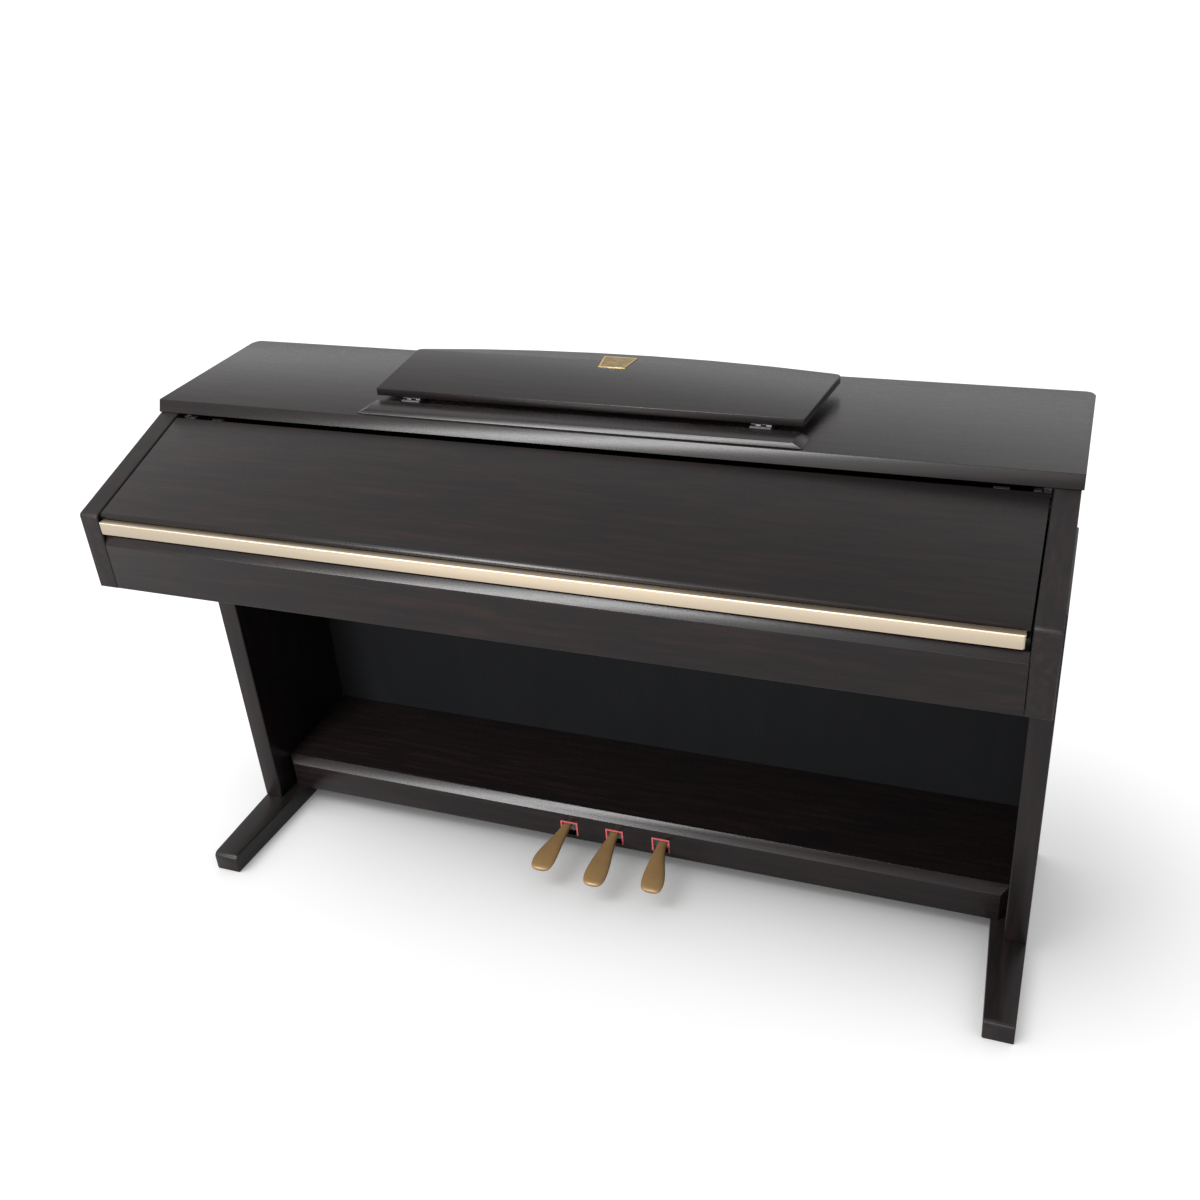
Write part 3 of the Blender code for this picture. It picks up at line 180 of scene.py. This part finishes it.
# %% [markdown]
# ## Lamps
# A wide soft sun lights the floor alike at any distance, where panels alone would leave it grey far
# away. Two soft panels stand in front, to the left: the tall one is what the board edges mirror
# towards the camera, as bands that fade to both sides, and the wide one fills in around it. Both
# skip the floor, which would otherwise glare in the front boards, and the keys with their controls.

# %% Place the lamps
UNLIT_NODES = (
    "key_c4", "key_c4_sharp", "key_d4", "key_d4_sharp", "key_e4", "keys_bass", "keys_treble",
    "control_panel", "volume_slider",
)
SUN_SPREAD = 35


def add_lamp(name, kind, place, target, energy):
    """A lamp that points at a target."""
    data = bpy.data.lights.new(name, kind)
    data.energy = energy
    lamp = bpy.data.objects.new(name, data)
    lamp.location = place
    lamp.rotation_euler = (Vector(target) - Vector(place)).to_track_quat("-Z", "Y").to_euler()
    bpy.context.scene.collection.objects.link(lamp)
    return lamp


def add_panel(name, place, target, energy, width, height):
    """A soft panel that skips the floor, the keys and their controls."""
    panel = add_lamp(name, "AREA", place, target, energy)
    panel.data.shape = "RECTANGLE"
    panel.data.size = width
    panel.data.size_y = height
    receivers = bpy.data.collections.new(name + "_receivers")
    for piece in (floor, *(frame["nodes"][node] for node in UNLIT_NODES)):
        receivers.objects.link(piece)
    for row in receivers.collection_objects:
        row.light_linking.link_state = "EXCLUDE"
    panel.light_linking.receiver_collection = receivers


sun = add_lamp("soft_sun", "SUN", place=(-1.5, -1.2, 4.0), target=(0, 0, 0.3), energy=1.2)
sun.data.angle = math.radians(SUN_SPREAD)
add_panel("tall_panel", place=(-1.1, -2.9, 2.3), target=(-0.4, 0, 1.4), energy=290,
          width=1.1, height=2.9)
add_panel("wide_panel", place=(-0.6, -3.4, 2.3), target=(-0.2, 0, 1.4), energy=80,
          width=4.0, height=2.9)
print(len(bpy.data.lights), "lamps")

# %% [markdown]
# ## Shared effects
# Grain, smudges and grit are used by many finishes, so each is a node group with its own inputs. A
# photograph of wood could be wrapped on the boards instead, but noise stretched along the grain has
# no seams and stays sharp up close. First come the helpers that build a group.

# %% Node group helpers
COLOUR = "NodeSocketColor"
NUMBER = "NodeSocketFloat"
VECTOR = "NodeSocketVector"


def new_group(name, inputs):
    """A shader node group with named inputs, which puts out a colour, a roughness and a height."""
    group = bpy.data.node_groups.new(name, "ShaderNodeTree")
    for label, kind, value in inputs:
        socket = group.interface.new_socket(label, in_out="INPUT", socket_type=kind)
        if value is not None:
            socket.default_value = value
    for label, kind in (("Color", COLOUR), ("Roughness", NUMBER), ("Height", NUMBER)):
        group.interface.new_socket(label, in_out="OUTPUT", socket_type=kind)
    return group, group.nodes.new("NodeGroupInput"), group.nodes.new("NodeGroupOutput")


def add_noise(group, source, scale, detail, roughness):
    """A noise texture that reads the group's vector."""
    noise = group.nodes.new("ShaderNodeTexNoise")
    noise.inputs["Detail"].default_value = detail
    noise.inputs["Roughness"].default_value = roughness
    noise.inputs["Scale"].default_value = scale
    group.links.new(source.outputs["Vector"], noise.inputs["Vector"])
    return noise


def add_range(group, value, low, high, most=1.0):
    """A mask that grows from nought to its most while a value goes from low to high."""
    node = group.nodes.new("ShaderNodeMapRange")
    node.inputs["From Min"].default_value = low
    node.inputs["From Max"].default_value = high
    node.inputs["To Min"].default_value = 0.0
    node.inputs["To Max"].default_value = most
    group.links.new(value, node.inputs["Value"])
    return node.outputs["Result"]


def add_mix(group, factor, first, second):
    """A colour mix between two sockets."""
    node = group.nodes.new("ShaderNodeMix")
    node.data_type = "RGBA"
    group.links.new(factor, node.inputs["Factor"])
    group.links.new(first, node.inputs["A"])
    group.links.new(second, node.inputs["B"])
    return node.outputs["Result"]


def add_gloss(group, mask, share, start):
    """A roughness that rises above a start value by a share of a mask."""
    node = group.nodes.new("ShaderNodeMath")
    node.operation = "MULTIPLY_ADD"
    node.inputs[1].default_value = share
    group.links.new(mask, node.inputs[0])
    group.links.new(start, node.inputs[2])
    return node.outputs[0]


print("each group puts out a colour, a roughness and a height")

# %% [markdown]
# ## Wood grain
# Rosewood laminate has broad warm streaks and short dark pores along the board. Two noises give
# them: a coarse one, bent a little, mixes ground and streak, and a fine one darkens the pores. The
# pores also dull the gloss and drive the bump.

# %% Make the wood grain
PORE_COLOUR = (0.003, 0.002, 0.002, 1)


def make_grain_group():
    """Broad streaks and fine pores along the grain."""
    group, source, sink = new_group("wood_grain", (
        ("Vector", VECTOR, None), ("Ground", COLOUR, (0.01, 0.007, 0.007, 1)),
        ("Streak", COLOUR, (0.03, 0.013, 0.011, 1)), ("Gloss", NUMBER, 0.36)))
    streaks = add_noise(group, source, scale=3.0, detail=5, roughness=0.62)
    streaks.inputs["Distortion"].default_value = 0.5
    pores = add_noise(group, source, scale=24.0, detail=3, roughness=0.7).outputs["Fac"]
    streak_mask = add_range(group, streaks.outputs["Fac"], low=0.44, high=0.70)
    pore_mask = add_range(group, pores, low=0.55, high=0.72, most=0.55)
    figured = add_mix(group, streak_mask, source.outputs["Ground"], source.outputs["Streak"])
    dark = group.nodes.new("ShaderNodeRGB")
    dark.outputs[0].default_value = PORE_COLOUR
    gloss = add_gloss(group, pores, 0.16, source.outputs["Gloss"])
    group.links.new(add_mix(group, pore_mask, figured, dark.outputs[0]), sink.inputs["Color"])
    group.links.new(gloss, sink.inputs["Roughness"])
    group.links.new(pores, sink.inputs["Height"])
    return group


GRAIN = make_grain_group()
print("group", GRAIN.name)

# %% [markdown]
# ## Smudges
# Hands leave soft patches on metal, plastic and keys. A patchy noise blends a clean and a worn
# colour and dulls the gloss in the same places, and a fine grit drives the bump.

# %% Make the smudges


def make_smudge_group():
    """Soft handling marks: a colour that darkens and a roughness that varies in patches."""
    group, source, sink = new_group("smudges", (
        ("Vector", VECTOR, None), ("Clean", COLOUR, (0.5, 0.5, 0.5, 1)),
        ("Worn", COLOUR, (0.3, 0.3, 0.3, 1)), ("Scale", NUMBER, 18.0), ("Gloss", NUMBER, 0.3)))
    patches = add_noise(group, source, scale=18.0, detail=4, roughness=0.55)
    group.links.new(source.outputs["Scale"], patches.inputs["Scale"])
    grit = add_noise(group, source, scale=420.0, detail=2, roughness=0.5)
    mask = add_range(group, patches.outputs["Fac"], low=0.42, high=0.68)
    mixed = add_mix(group, mask, source.outputs["Clean"], source.outputs["Worn"])
    gloss = add_gloss(group, mask, 0.18, source.outputs["Gloss"])
    group.links.new(mixed, sink.inputs["Color"])
    group.links.new(gloss, sink.inputs["Roughness"])
    group.links.new(grit.outputs["Fac"], sink.inputs["Height"])
    return group


SMUDGES = make_smudge_group()
print("group", SMUDGES.name)

# %% [markdown]
# ## Wood finishes
# Each finish is a Principled shader fed by one of the groups. The vector is stretched by a Mapping
# node, so that the same grain runs along a board, down a leg or along a runner. The back boards
# have a faint grain too, matt and nearly black.

# %% Make the wood finishes
WOOD_GROUND = (0.0042, 0.0032, 0.0034)
WOOD_STREAK = (0.0092, 0.0055, 0.0050)
RUNNER_STREAK = (0.011, 0.007, 0.0065)
ALONG = 2.5
ACROSS = 30
LAMINATE_IOR = 1.36


def shader_of(material):
    """The Principled shader of a material."""
    return material.node_tree.nodes["Principled BSDF"]


def finish_from(name, group, stretch, values, metallic=0.0, bump=0.06, depth=0.0004):
    """A material whose colour, roughness and bump come from a group on Object coordinates."""
    material = bpy.data.materials.new(name)
    material.use_nodes = True
    nodes = material.node_tree.nodes
    links = material.node_tree.links
    shader = shader_of(material)
    shader.inputs["Metallic"].default_value = metallic
    place = nodes.new("ShaderNodeTexCoord")
    mapping = nodes.new("ShaderNodeMapping")
    mapping.inputs["Scale"].default_value = stretch
    effect = nodes.new("ShaderNodeGroup")
    effect.node_tree = group
    for label, value in values.items():
        effect.inputs[label].default_value = value
    height = nodes.new("ShaderNodeBump")
    height.inputs["Strength"].default_value = bump
    height.inputs["Distance"].default_value = depth
    links.new(place.outputs["Object"], mapping.inputs["Vector"])
    links.new(mapping.outputs["Vector"], effect.inputs["Vector"])
    links.new(effect.outputs["Color"], shader.inputs["Base Color"])
    links.new(effect.outputs["Roughness"], shader.inputs["Roughness"])
    links.new(effect.outputs["Height"], height.inputs["Height"])
    links.new(height.outputs["Normal"], shader.inputs["Normal"])
    return material


def rosewood(name, stretch, gloss, ground=WOOD_GROUND, streak=WOOD_STREAK, specular=0.38):
    """Dark laminate with its grain along the axis that is stretched least."""
    values = {"Ground": (*ground, 1), "Streak": (*streak, 1), "Gloss": gloss}
    material = finish_from(name, GRAIN, stretch, values)
    shader_of(material).inputs["IOR"].default_value = LAMINATE_IOR
    shader_of(material).inputs["Specular IOR Level"].default_value = specular
    return material


WOOD_ALONG = rosewood("rosewood_along", (ALONG, ACROSS, ACROSS), gloss=0.20)
WOOD_UP = rosewood("rosewood_up", (ACROSS, ACROSS, ALONG), gloss=0.26)
WOOD_BACK = rosewood("rosewood_runner", (ACROSS, ALONG, ACROSS), gloss=0.32, streak=RUNNER_STREAK)
BACKING = rosewood(
    "dark_backing", (5, 5, 1.5), gloss=0.60, ground=(0.0018, 0.0020, 0.0025),
    streak=(0.0026, 0.0028, 0.0034), specular=0.2)
print("woods", WOOD_ALONG.name, WOOD_UP.name, WOOD_BACK.name, BACKING.name)

# %% [markdown]
# ## Metal finishes
# The grip strip is champagne aluminium, the pedals are lacquered brass, and the screws and pins are
# plated steel. A metal is mostly what it mirrors, so its finish is a colour, a gloss and the
# smudges. The lacquer hides much of the brass, so the pedals are only partly metallic.

# %% Make the metals


def smudged(name, clean, worn, scale, gloss, metallic=0.0, bump=0.04, stretch=(1, 1, 1)):
    """A metal, plastic or cloth finish."""
    values = {"Clean": (*clean, 1), "Worn": (*worn, 1), "Scale": scale, "Gloss": gloss}
    return finish_from(name, SMUDGES, stretch, values, metallic, bump)


CHAMPAGNE = smudged(
    "champagne_strip", clean=(0.46, 0.39, 0.30), worn=(0.38, 0.31, 0.23), scale=6, gloss=0.38,
    metallic=1.0, bump=0.02, stretch=(0.2, 1, 1))
PEDAL_BRASS = smudged(
    "pedal_brass", clean=(0.185, 0.112, 0.046), worn=(0.140, 0.084, 0.034), scale=34, gloss=0.42,
    metallic=0.35)
STEEL = smudged(
    "plated_steel", clean=(0.36, 0.36, 0.37), worn=(0.26, 0.26, 0.27), scale=40, gloss=0.34,
    metallic=1.0)
# Steel darkened to near black: painted shade for the shade that the hinges, shaft and brackets sit
# in.
PAINTED_SHADE_STEEL = smudged(
    "painted_shade_steel", clean=(0.030, 0.030, 0.032), worn=(0.020, 0.020, 0.021), scale=40,
    gloss=0.50, metallic=0.4)
PLATE_BRASS = smudged(
    "bare_plate", clean=(0.60, 0.44, 0.18), worn=(0.42, 0.30, 0.12), scale=60, gloss=0.22,
    metallic=1.0)
PLATE_FIELD = smudged(
    "plate_field", clean=(0.30, 0.21, 0.09), worn=(0.22, 0.15, 0.06), scale=90, gloss=0.34,
    metallic=1.0)
print("metals", CHAMPAGNE.name, PEDAL_BRASS.name, STEEL.name, PAINTED_SHADE_STEEL.name)

# %% [markdown]
# ## Plastics, keys and felt
# Controls and rails are moulded plastic, and the controls' grain takes a stronger bump. White keys
# are warm and glossy, black keys a little less glossy, and red felt lines the slots of the pedals.
# Felt could be made of hairs, but at this size a little sheen gives its soft edge.

# %% Make the plastics, keys and felt
EBONY_COLOUR = (0.014, 0.014, 0.014)
NYLON = smudged(
    "nylon", clean=(0.020, 0.020, 0.021), worn=(0.028, 0.028, 0.029), scale=30, gloss=0.45)
BLACK = smudged(
    "black_plastic", clean=(0.018, 0.018, 0.020), worn=(0.026, 0.026, 0.028), scale=24,
    gloss=0.42, bump=0.12)
GREY = smudged(
    "grey_plastic", clean=(0.30, 0.30, 0.31), worn=(0.24, 0.24, 0.25), scale=40, gloss=0.40,
    bump=0.10)
IVORY = smudged(
    "white_key", clean=(0.80, 0.79, 0.74), worn=(0.76, 0.74, 0.68), scale=9, gloss=0.20)
EBONY = smudged(
    "black_key", clean=EBONY_COLOUR, worn=(0.020, 0.020, 0.020), scale=30, gloss=0.30)
FELT = smudged(
    "red_felt", clean=(0.30, 0.030, 0.035), worn=(0.22, 0.020, 0.024), scale=300, gloss=0.80,
    bump=0.6)
shader_of(FELT).inputs["Sheen Weight"].default_value = 0.4
BOARD_GREEN = smudged(
    "circuit_board", clean=(0.02, 0.11, 0.05), worn=(0.015, 0.08, 0.035), scale=60, gloss=0.34)
print("plastics", NYLON.name, BLACK.name, GREY.name, "keys", IVORY.name, EBONY.name)

# %% [markdown]
# ## Banks of keys
# A bank holds white and black keys in one mesh, so it can't take two finishes by node. Its faces
# could be sorted by hand, but the black keys are just what stands above the white tops, so the
# height picks the colour.

# %% Make the finish of the banks
ABOVE_WHITE = 0.0002


def make_two_tone():
    """White keys, and black above the height of their tops."""
    white_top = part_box("key_c4")[1][2]
    material = IVORY.copy()
    material.name = "key_bank"
    nodes = material.node_tree.nodes
    links = material.node_tree.links
    shader = shader_of(material)
    place = nodes.new("ShaderNodeTexCoord")
    split = nodes.new("ShaderNodeSeparateXYZ")
    above = nodes.new("ShaderNodeMath")
    above.operation = "GREATER_THAN"
    above.inputs[1].default_value = white_top + ABOVE_WHITE
    mix = nodes.new("ShaderNodeMix")
    mix.data_type = "RGBA"
    mix.inputs["B"].default_value = (*EBONY_COLOUR, 1)
    links.new(place.outputs["Object"], split.inputs["Vector"])
    links.new(split.outputs["Z"], above.inputs[0])
    links.new(above.outputs[0], mix.inputs["Factor"])
    links.new(shader.inputs["Base Color"].links[0].from_socket, mix.inputs["A"])
    links.new(mix.outputs["Result"], shader.inputs["Base Color"])
    return material


KEY_BANK = make_two_tone()

# %% [markdown]
# ## Dress the CAD nodes
# Every carried-over node takes the finish of its material slot. Legs, side arms and runners take
# the wood that runs their own way, because a veneer's grain follows the length of its board. The
# hinges of the music rest and the cover's shaft and brackets take steel darkened to near black,
# which is painted shade for the shade they sit in.

# %% Assign the finishes
BY_SLOT = {
    "rosewood": WOOD_ALONG, "dark_backing": BACKING, "champagne_metal": CHAMPAGNE,
    "pedal_brass": PEDAL_BRASS, "plated_steel": STEEL, "nylon": NYLON, "black_plastic": BLACK,
    "grey_plastic": GREY, "white_key": IVORY, "black_key": EBONY, "red_felt": FELT,
    "circuit_board": BOARD_GREEN,
}
BY_NODE = {"keys_bass": KEY_BANK, "keys_treble": KEY_BANK, "cover_shaft": PAINTED_SHADE_STEEL}
for side in ("left", "right"):
    BY_NODE["leg_" + side] = WOOD_UP
    BY_NODE["arm_" + side] = WOOD_BACK
    BY_NODE["foot_" + side] = WOOD_BACK
    for fitting in ("rest_hinge_", "ledge_hinge_", "cover_bracket_"):
        BY_NODE[fitting + side] = PAINTED_SHADE_STEEL
SLOT_OF = {row["node"]: row["material_slot"] for row in record["subparts"]}
BODY_OF = {node: body for body, nodes in record["behaviour"]["bodies"].items() for node in nodes}


def finish_of(node):
    """The material of a node."""
    return BY_NODE.get(node, BY_SLOT[SLOT_OF[node]])


for node_name, node_object in frame["nodes"].items():
    for slot in node_object.material_slots:
        slot.material = finish_of(node_name)
print(len(frame["nodes"]), "nodes dressed")

# %% [markdown]
# ## Working on one piece
# An operator acts on all that is selected, so a piece is made the only one selected before it is
# worked on. Faces are picked in code by their normal, which is steadier than by their number.

# %% Selection helpers


def deselect():
    """Clear the selection, so that an operator acts on one piece only."""
    bpy.ops.object.select_all(action="DESELECT")


def make_active(piece):
    """Select one piece and make it active."""
    deselect()
    piece.select_set(True)
    bpy.context.view_layer.objects.active = piece


def open_faces(piece, chosen):
    """Enter edit mode with only the faces selected for which chosen(face) is true."""
    make_active(piece)
    picked = [face.index for face in piece.data.polygons if chosen(face)]
    bpy.ops.object.mode_set(mode="EDIT")
    bpy.ops.mesh.select_mode(type="FACE")
    bpy.ops.mesh.select_all(action="DESELECT")
    bpy.ops.object.mode_set(mode="OBJECT")
    for index in picked:
        piece.data.polygons[index].select = True
    bpy.ops.object.mode_set(mode="EDIT")


deselect()
print(len(bpy.context.selected_objects), "pieces selected")

# %% [markdown]
# ## Boards with eased edges
# A laminate board never has a razor edge: its edges are eased by about a millimetre, and they catch
# the light. The edges could be rounded in the model itself, but that would burden the physics. So
# the CAD board is copied, its flat facets are merged, and a bevel eases what is sharp. The copy
# stands for the node, which stays in the physics.

# %% Ease the edges
MERGE_DISTANCE = 0.00001
FLAT_ANGLE = 1
CHAMFERED = 12          # degrees: a board whose chamfers are eased as well
PLAIN = 22              # degrees: a board whose shallow curves stay as they are
EASED = {
    "top_board": (0.0012, CHAMFERED), "key_slip": (0.0009, CHAMFERED),
    "pedal_board": (0.0009, CHAMFERED), "arm_left": (0.0008, CHAMFERED),
    "arm_right": (0.0008, CHAMFERED), "music_ledge": (0.0006, PLAIN), "key_cover": (0.0008, PLAIN),
    "music_rest": (0.0008, PLAIN), "shelf_board": (0.0010, PLAIN), "cover_handle": (0.0004, PLAIN),
    "foot_left": (0.0022, PLAIN), "foot_right": (0.0022, PLAIN), "leg_left": (0.0008, PLAIN),
    "leg_right": (0.0008, PLAIN),
}


def eased(node, width, sharp):
    """A copy of a node with merged facets, whose edges over an angle in degrees are eased."""
    source = frame["nodes"][node]
    piece = bpy.data.objects.new(node + "_board", source.data.copy())
    bpy.context.scene.collection.objects.link(piece)
    piece.data.transform(source.matrix_world)
    make_active(piece)
    bpy.ops.object.mode_set(mode="EDIT")
    bpy.ops.mesh.select_all(action="SELECT")
    bpy.ops.mesh.remove_doubles(threshold=MERGE_DISTANCE)
    bpy.ops.mesh.dissolve_limited(angle_limit=math.radians(FLAT_ANGLE))
    bpy.ops.object.mode_set(mode="OBJECT")
    bpy.ops.object.shade_smooth()
    bevel = piece.modifiers.new("eased", "BEVEL")
    bevel.width = width
    bevel.segments = 2
    bevel.limit_method = "ANGLE"
    bevel.angle_limit = math.radians(sharp)
    bevel.harden_normals = True
    bpy.ops.object.modifier_apply(modifier=bevel.name)
    piece.data.materials.clear()
    piece.data.materials.append(finish_of(node))
    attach(piece, BODY_OF[node])
    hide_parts(node)
    return piece


BOARDS = {node: eased(node, *values) for node, values in EASED.items()}
print(len(BOARDS), "boards eased")

# %% [markdown]
# ## Pedals
# A pedal is a brass casting: a plain bar that swells into a rounded head. It could be a loft, but a
# box that is extruded section by section and then subdivided gives the same soft form by hand. The
# heads of the outer pedals lie a little further out than their bars, which is their splay.

# %% Model the pedals
PEDAL_HALF = 0.0080
PEDAL_THICK = 0.0100
PEDAL_SPLAY = 0.0095
BAR_SHARE = 0.55        # share of the splay by which the bar lies beside the middle of the box
TABLE_TIP = 0.0715      # reach of the tip for which the sections were drawn
PEDAL_SECTIONS = (      # y, share of the splay, width, height of the middle, thickness
    (0.0600, 0.00, 1.00, 0.0630, 1.00),
    (0.0360, 0.00, 1.04, 0.0637, 1.00),
    (0.0140, 0.12, 1.36, 0.0634, 1.00),
    (-0.0080, 0.42, 1.86, 0.0619, 1.00),
    (-0.0290, 0.78, 2.45, 0.0592, 1.00),
    (-0.0470, 1.00, 2.78, 0.0560, 1.00),
    (-0.0600, 1.10, 2.66, 0.0529, 0.98),
    (-0.0680, 1.15, 2.15, 0.0507, 0.90),
    (-0.0712, 1.20, 1.25, 0.0497, 0.62),
)


def model_pedal(node, splay):
    """A pedal from a box, extruded forward section by section."""
    low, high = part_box(node)
    centre = (low[0] + high[0]) / 2 - splay * BAR_SHARE
    stretch = -low[1] / TABLE_TIP
    last_y, last_share, last_width, last_height, last_thickness = PEDAL_SECTIONS[0]
    length = high[1] - last_y
    deselect()
    bpy.ops.mesh.primitive_cube_add(size=1, location=(0, 0, 0))
    piece = bpy.context.object
    piece.name = node + "_casting"
    piece.scale = (PEDAL_HALF * 2, length, PEDAL_THICK)
    piece.location = (centre, high[1] - length / 2, last_height)
    bpy.ops.object.transform_apply(location=True, rotation=True, scale=True)
    open_faces(piece, lambda face: face.normal.y < -0.9)
    for y, share, width, height, thickness in PEDAL_SECTIONS[1:]:
        y = y * stretch if y < 0 else y
        shift = ((share - last_share) * splay, y - last_y, height - last_height)
        growth = (width / last_width, 1, thickness / last_thickness)
        bpy.ops.mesh.extrude_region_move(TRANSFORM_OT_translate={"value": shift})
        bpy.ops.transform.resize(value=growth)
        last_y, last_share, last_width, last_height, last_thickness = (
            y, share, width, height, thickness)
    bpy.ops.object.mode_set(mode="OBJECT")
    soft = piece.modifiers.new("soft", "SUBSURF")
    soft.levels = 3
    soft.render_levels = 3
    bpy.ops.object.modifier_apply(modifier=soft.name)
    bpy.ops.object.shade_smooth()
    piece.data.materials.append(PEDAL_BRASS)
    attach(piece, BODY_OF[node])
    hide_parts(node)
    return piece


for pedal_node, turn_out in (("pedal_left", -1), ("pedal_middle", 0), ("pedal_right", 1)):
    made = model_pedal(pedal_node, turn_out * PEDAL_SPLAY)
    print(pedal_node, len(made.data.polygons), "faces", [round(v, 4) for v in made.dimensions])

# %% [markdown]
# ## Bare plate on the music rest
# A small brass plate is let in near the rest's far edge. It is left bare. A thin box is narrowed
# towards the player, and its top is inset and sunk, which leaves the bright rim. The wood around it
# is lowered by half a millimetre, so that the plate stands proud inside the CAD box.

# %% Model the plate
PLATE_NEAR = 0.1815
PLATE_FAR = 0.2260
PLATE_NEAR_HALF = 0.0215
PLATE_FAR_HALF = 0.0275
PLATE_THICK = 0.0010
RIM_WIDTH = 0.0018
RIM_SLOPE = 0.0004
RIM_HEIGHT = 0.0002
WOOD_LOWERED = 0.0005
TOP_FACE_BAND = 0.0030


def model_plate():
    """Trapezoid plate with a raised rim."""
    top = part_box("music_rest")[1][2]
    for vertex in BOARDS["music_rest"].data.vertices:
        if vertex.co.z > top - TOP_FACE_BAND:
            vertex.co.z -= WOOD_LOWERED
    middle = (PLATE_NEAR + PLATE_FAR) / 2
    deselect()
    bpy.ops.mesh.primitive_cube_add(size=1, location=(0, 0, 0))
    piece = bpy.context.object
    piece.name = "bare_plate"
    piece.scale = (PLATE_FAR_HALF * 2, PLATE_FAR - PLATE_NEAR, PLATE_THICK)
    piece.location = (0, middle, top - PLATE_THICK / 2)
    bpy.ops.object.transform_apply(location=True, rotation=True, scale=True)
    for vertex in piece.data.vertices:
        if vertex.co.y < middle:
            vertex.co.x *= PLATE_NEAR_HALF / PLATE_FAR_HALF
    open_faces(piece, lambda face: face.normal.z > 0.9)
    bpy.ops.mesh.inset(thickness=RIM_WIDTH)
    bpy.ops.mesh.inset(thickness=RIM_SLOPE, depth=-RIM_HEIGHT)
    bpy.ops.object.mode_set(mode="OBJECT")
    piece.data.materials.append(PLATE_BRASS)
    piece.data.materials.append(PLATE_FIELD)
    for face in piece.data.polygons:
        if face.select:
            face.material_index = 1
    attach(piece, BODY_OF["music_rest"])
    return piece


print("plate", [round(value, 4) for value in model_plate().dimensions])

# %% [markdown]
# ## Screws in the back boards
# The back boards are held by pan-head screws. One is modelled: a short cylinder whose face is inset
# twice and sunk in the middle. The rest are copies of it, each with its own mesh.

# %% Model the screws
SCREW_RADIUS = 0.0040
SCREW_HEIGHT = 0.0018
SCREW_RIM = 0.0008
SCREW_LAND = 0.0016
RECESS_DEPTH = 0.0008
SMOOTH_BELOW = 35
CASE_SCREWS = [(x, z) for x in (-0.64, -0.32, 0.0, 0.32, 0.64) for z in (0.660, 0.815)]
PANEL_SCREWS = [(x, z) for x in (-0.64, 0.64) for z in (0.08, 0.34, 0.60)]


def model_screw(x, z):
    """A pan head with a sunk middle, on the rear face of the case."""
    back_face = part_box("case_back")[1][1]
    deselect()
    bpy.ops.mesh.primitive_cylinder_add(
        vertices=20, radius=SCREW_RADIUS, depth=SCREW_HEIGHT,
        location=(x, back_face + SCREW_HEIGHT / 2, z), rotation=(math.radians(-90), 0, 0))
    piece = bpy.context.object
    bpy.ops.object.transform_apply(location=True, rotation=True, scale=True)
    open_faces(piece, lambda face: face.normal.y > 0.9)
    bpy.ops.mesh.inset(thickness=SCREW_RIM)
    bpy.ops.mesh.inset(thickness=SCREW_LAND)
    bpy.ops.mesh.extrude_region_move(TRANSFORM_OT_translate={"value": (0, -RECESS_DEPTH, 0)})
    bpy.ops.object.mode_set(mode="OBJECT")
    bpy.ops.object.shade_smooth_by_angle(angle=math.radians(SMOOTH_BELOW))
    piece.data.materials.append(STEEL)
    return piece


def copy_screw(first, right, up):
    """A copy of the first screw with its own mesh, moved to the right and up."""
    piece = bpy.data.objects.new(first.name, first.data.copy())
    piece.data.transform(Matrix.Translation((right, 0, up)))
    bpy.context.scene.collection.objects.link(piece)
    return piece


screw_places = CASE_SCREWS + PANEL_SCREWS
first_x, first_z = screw_places[0]
screws = [model_screw(first_x, first_z)]
screws += [copy_screw(screws[0], x - first_x, z - first_z) for x, z in screw_places[1:]]
for number, screw in enumerate(screws, start=1):
    screw.name = f"back_screw_{number}"
    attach(screw, "case")
print(len(screws), "screws")
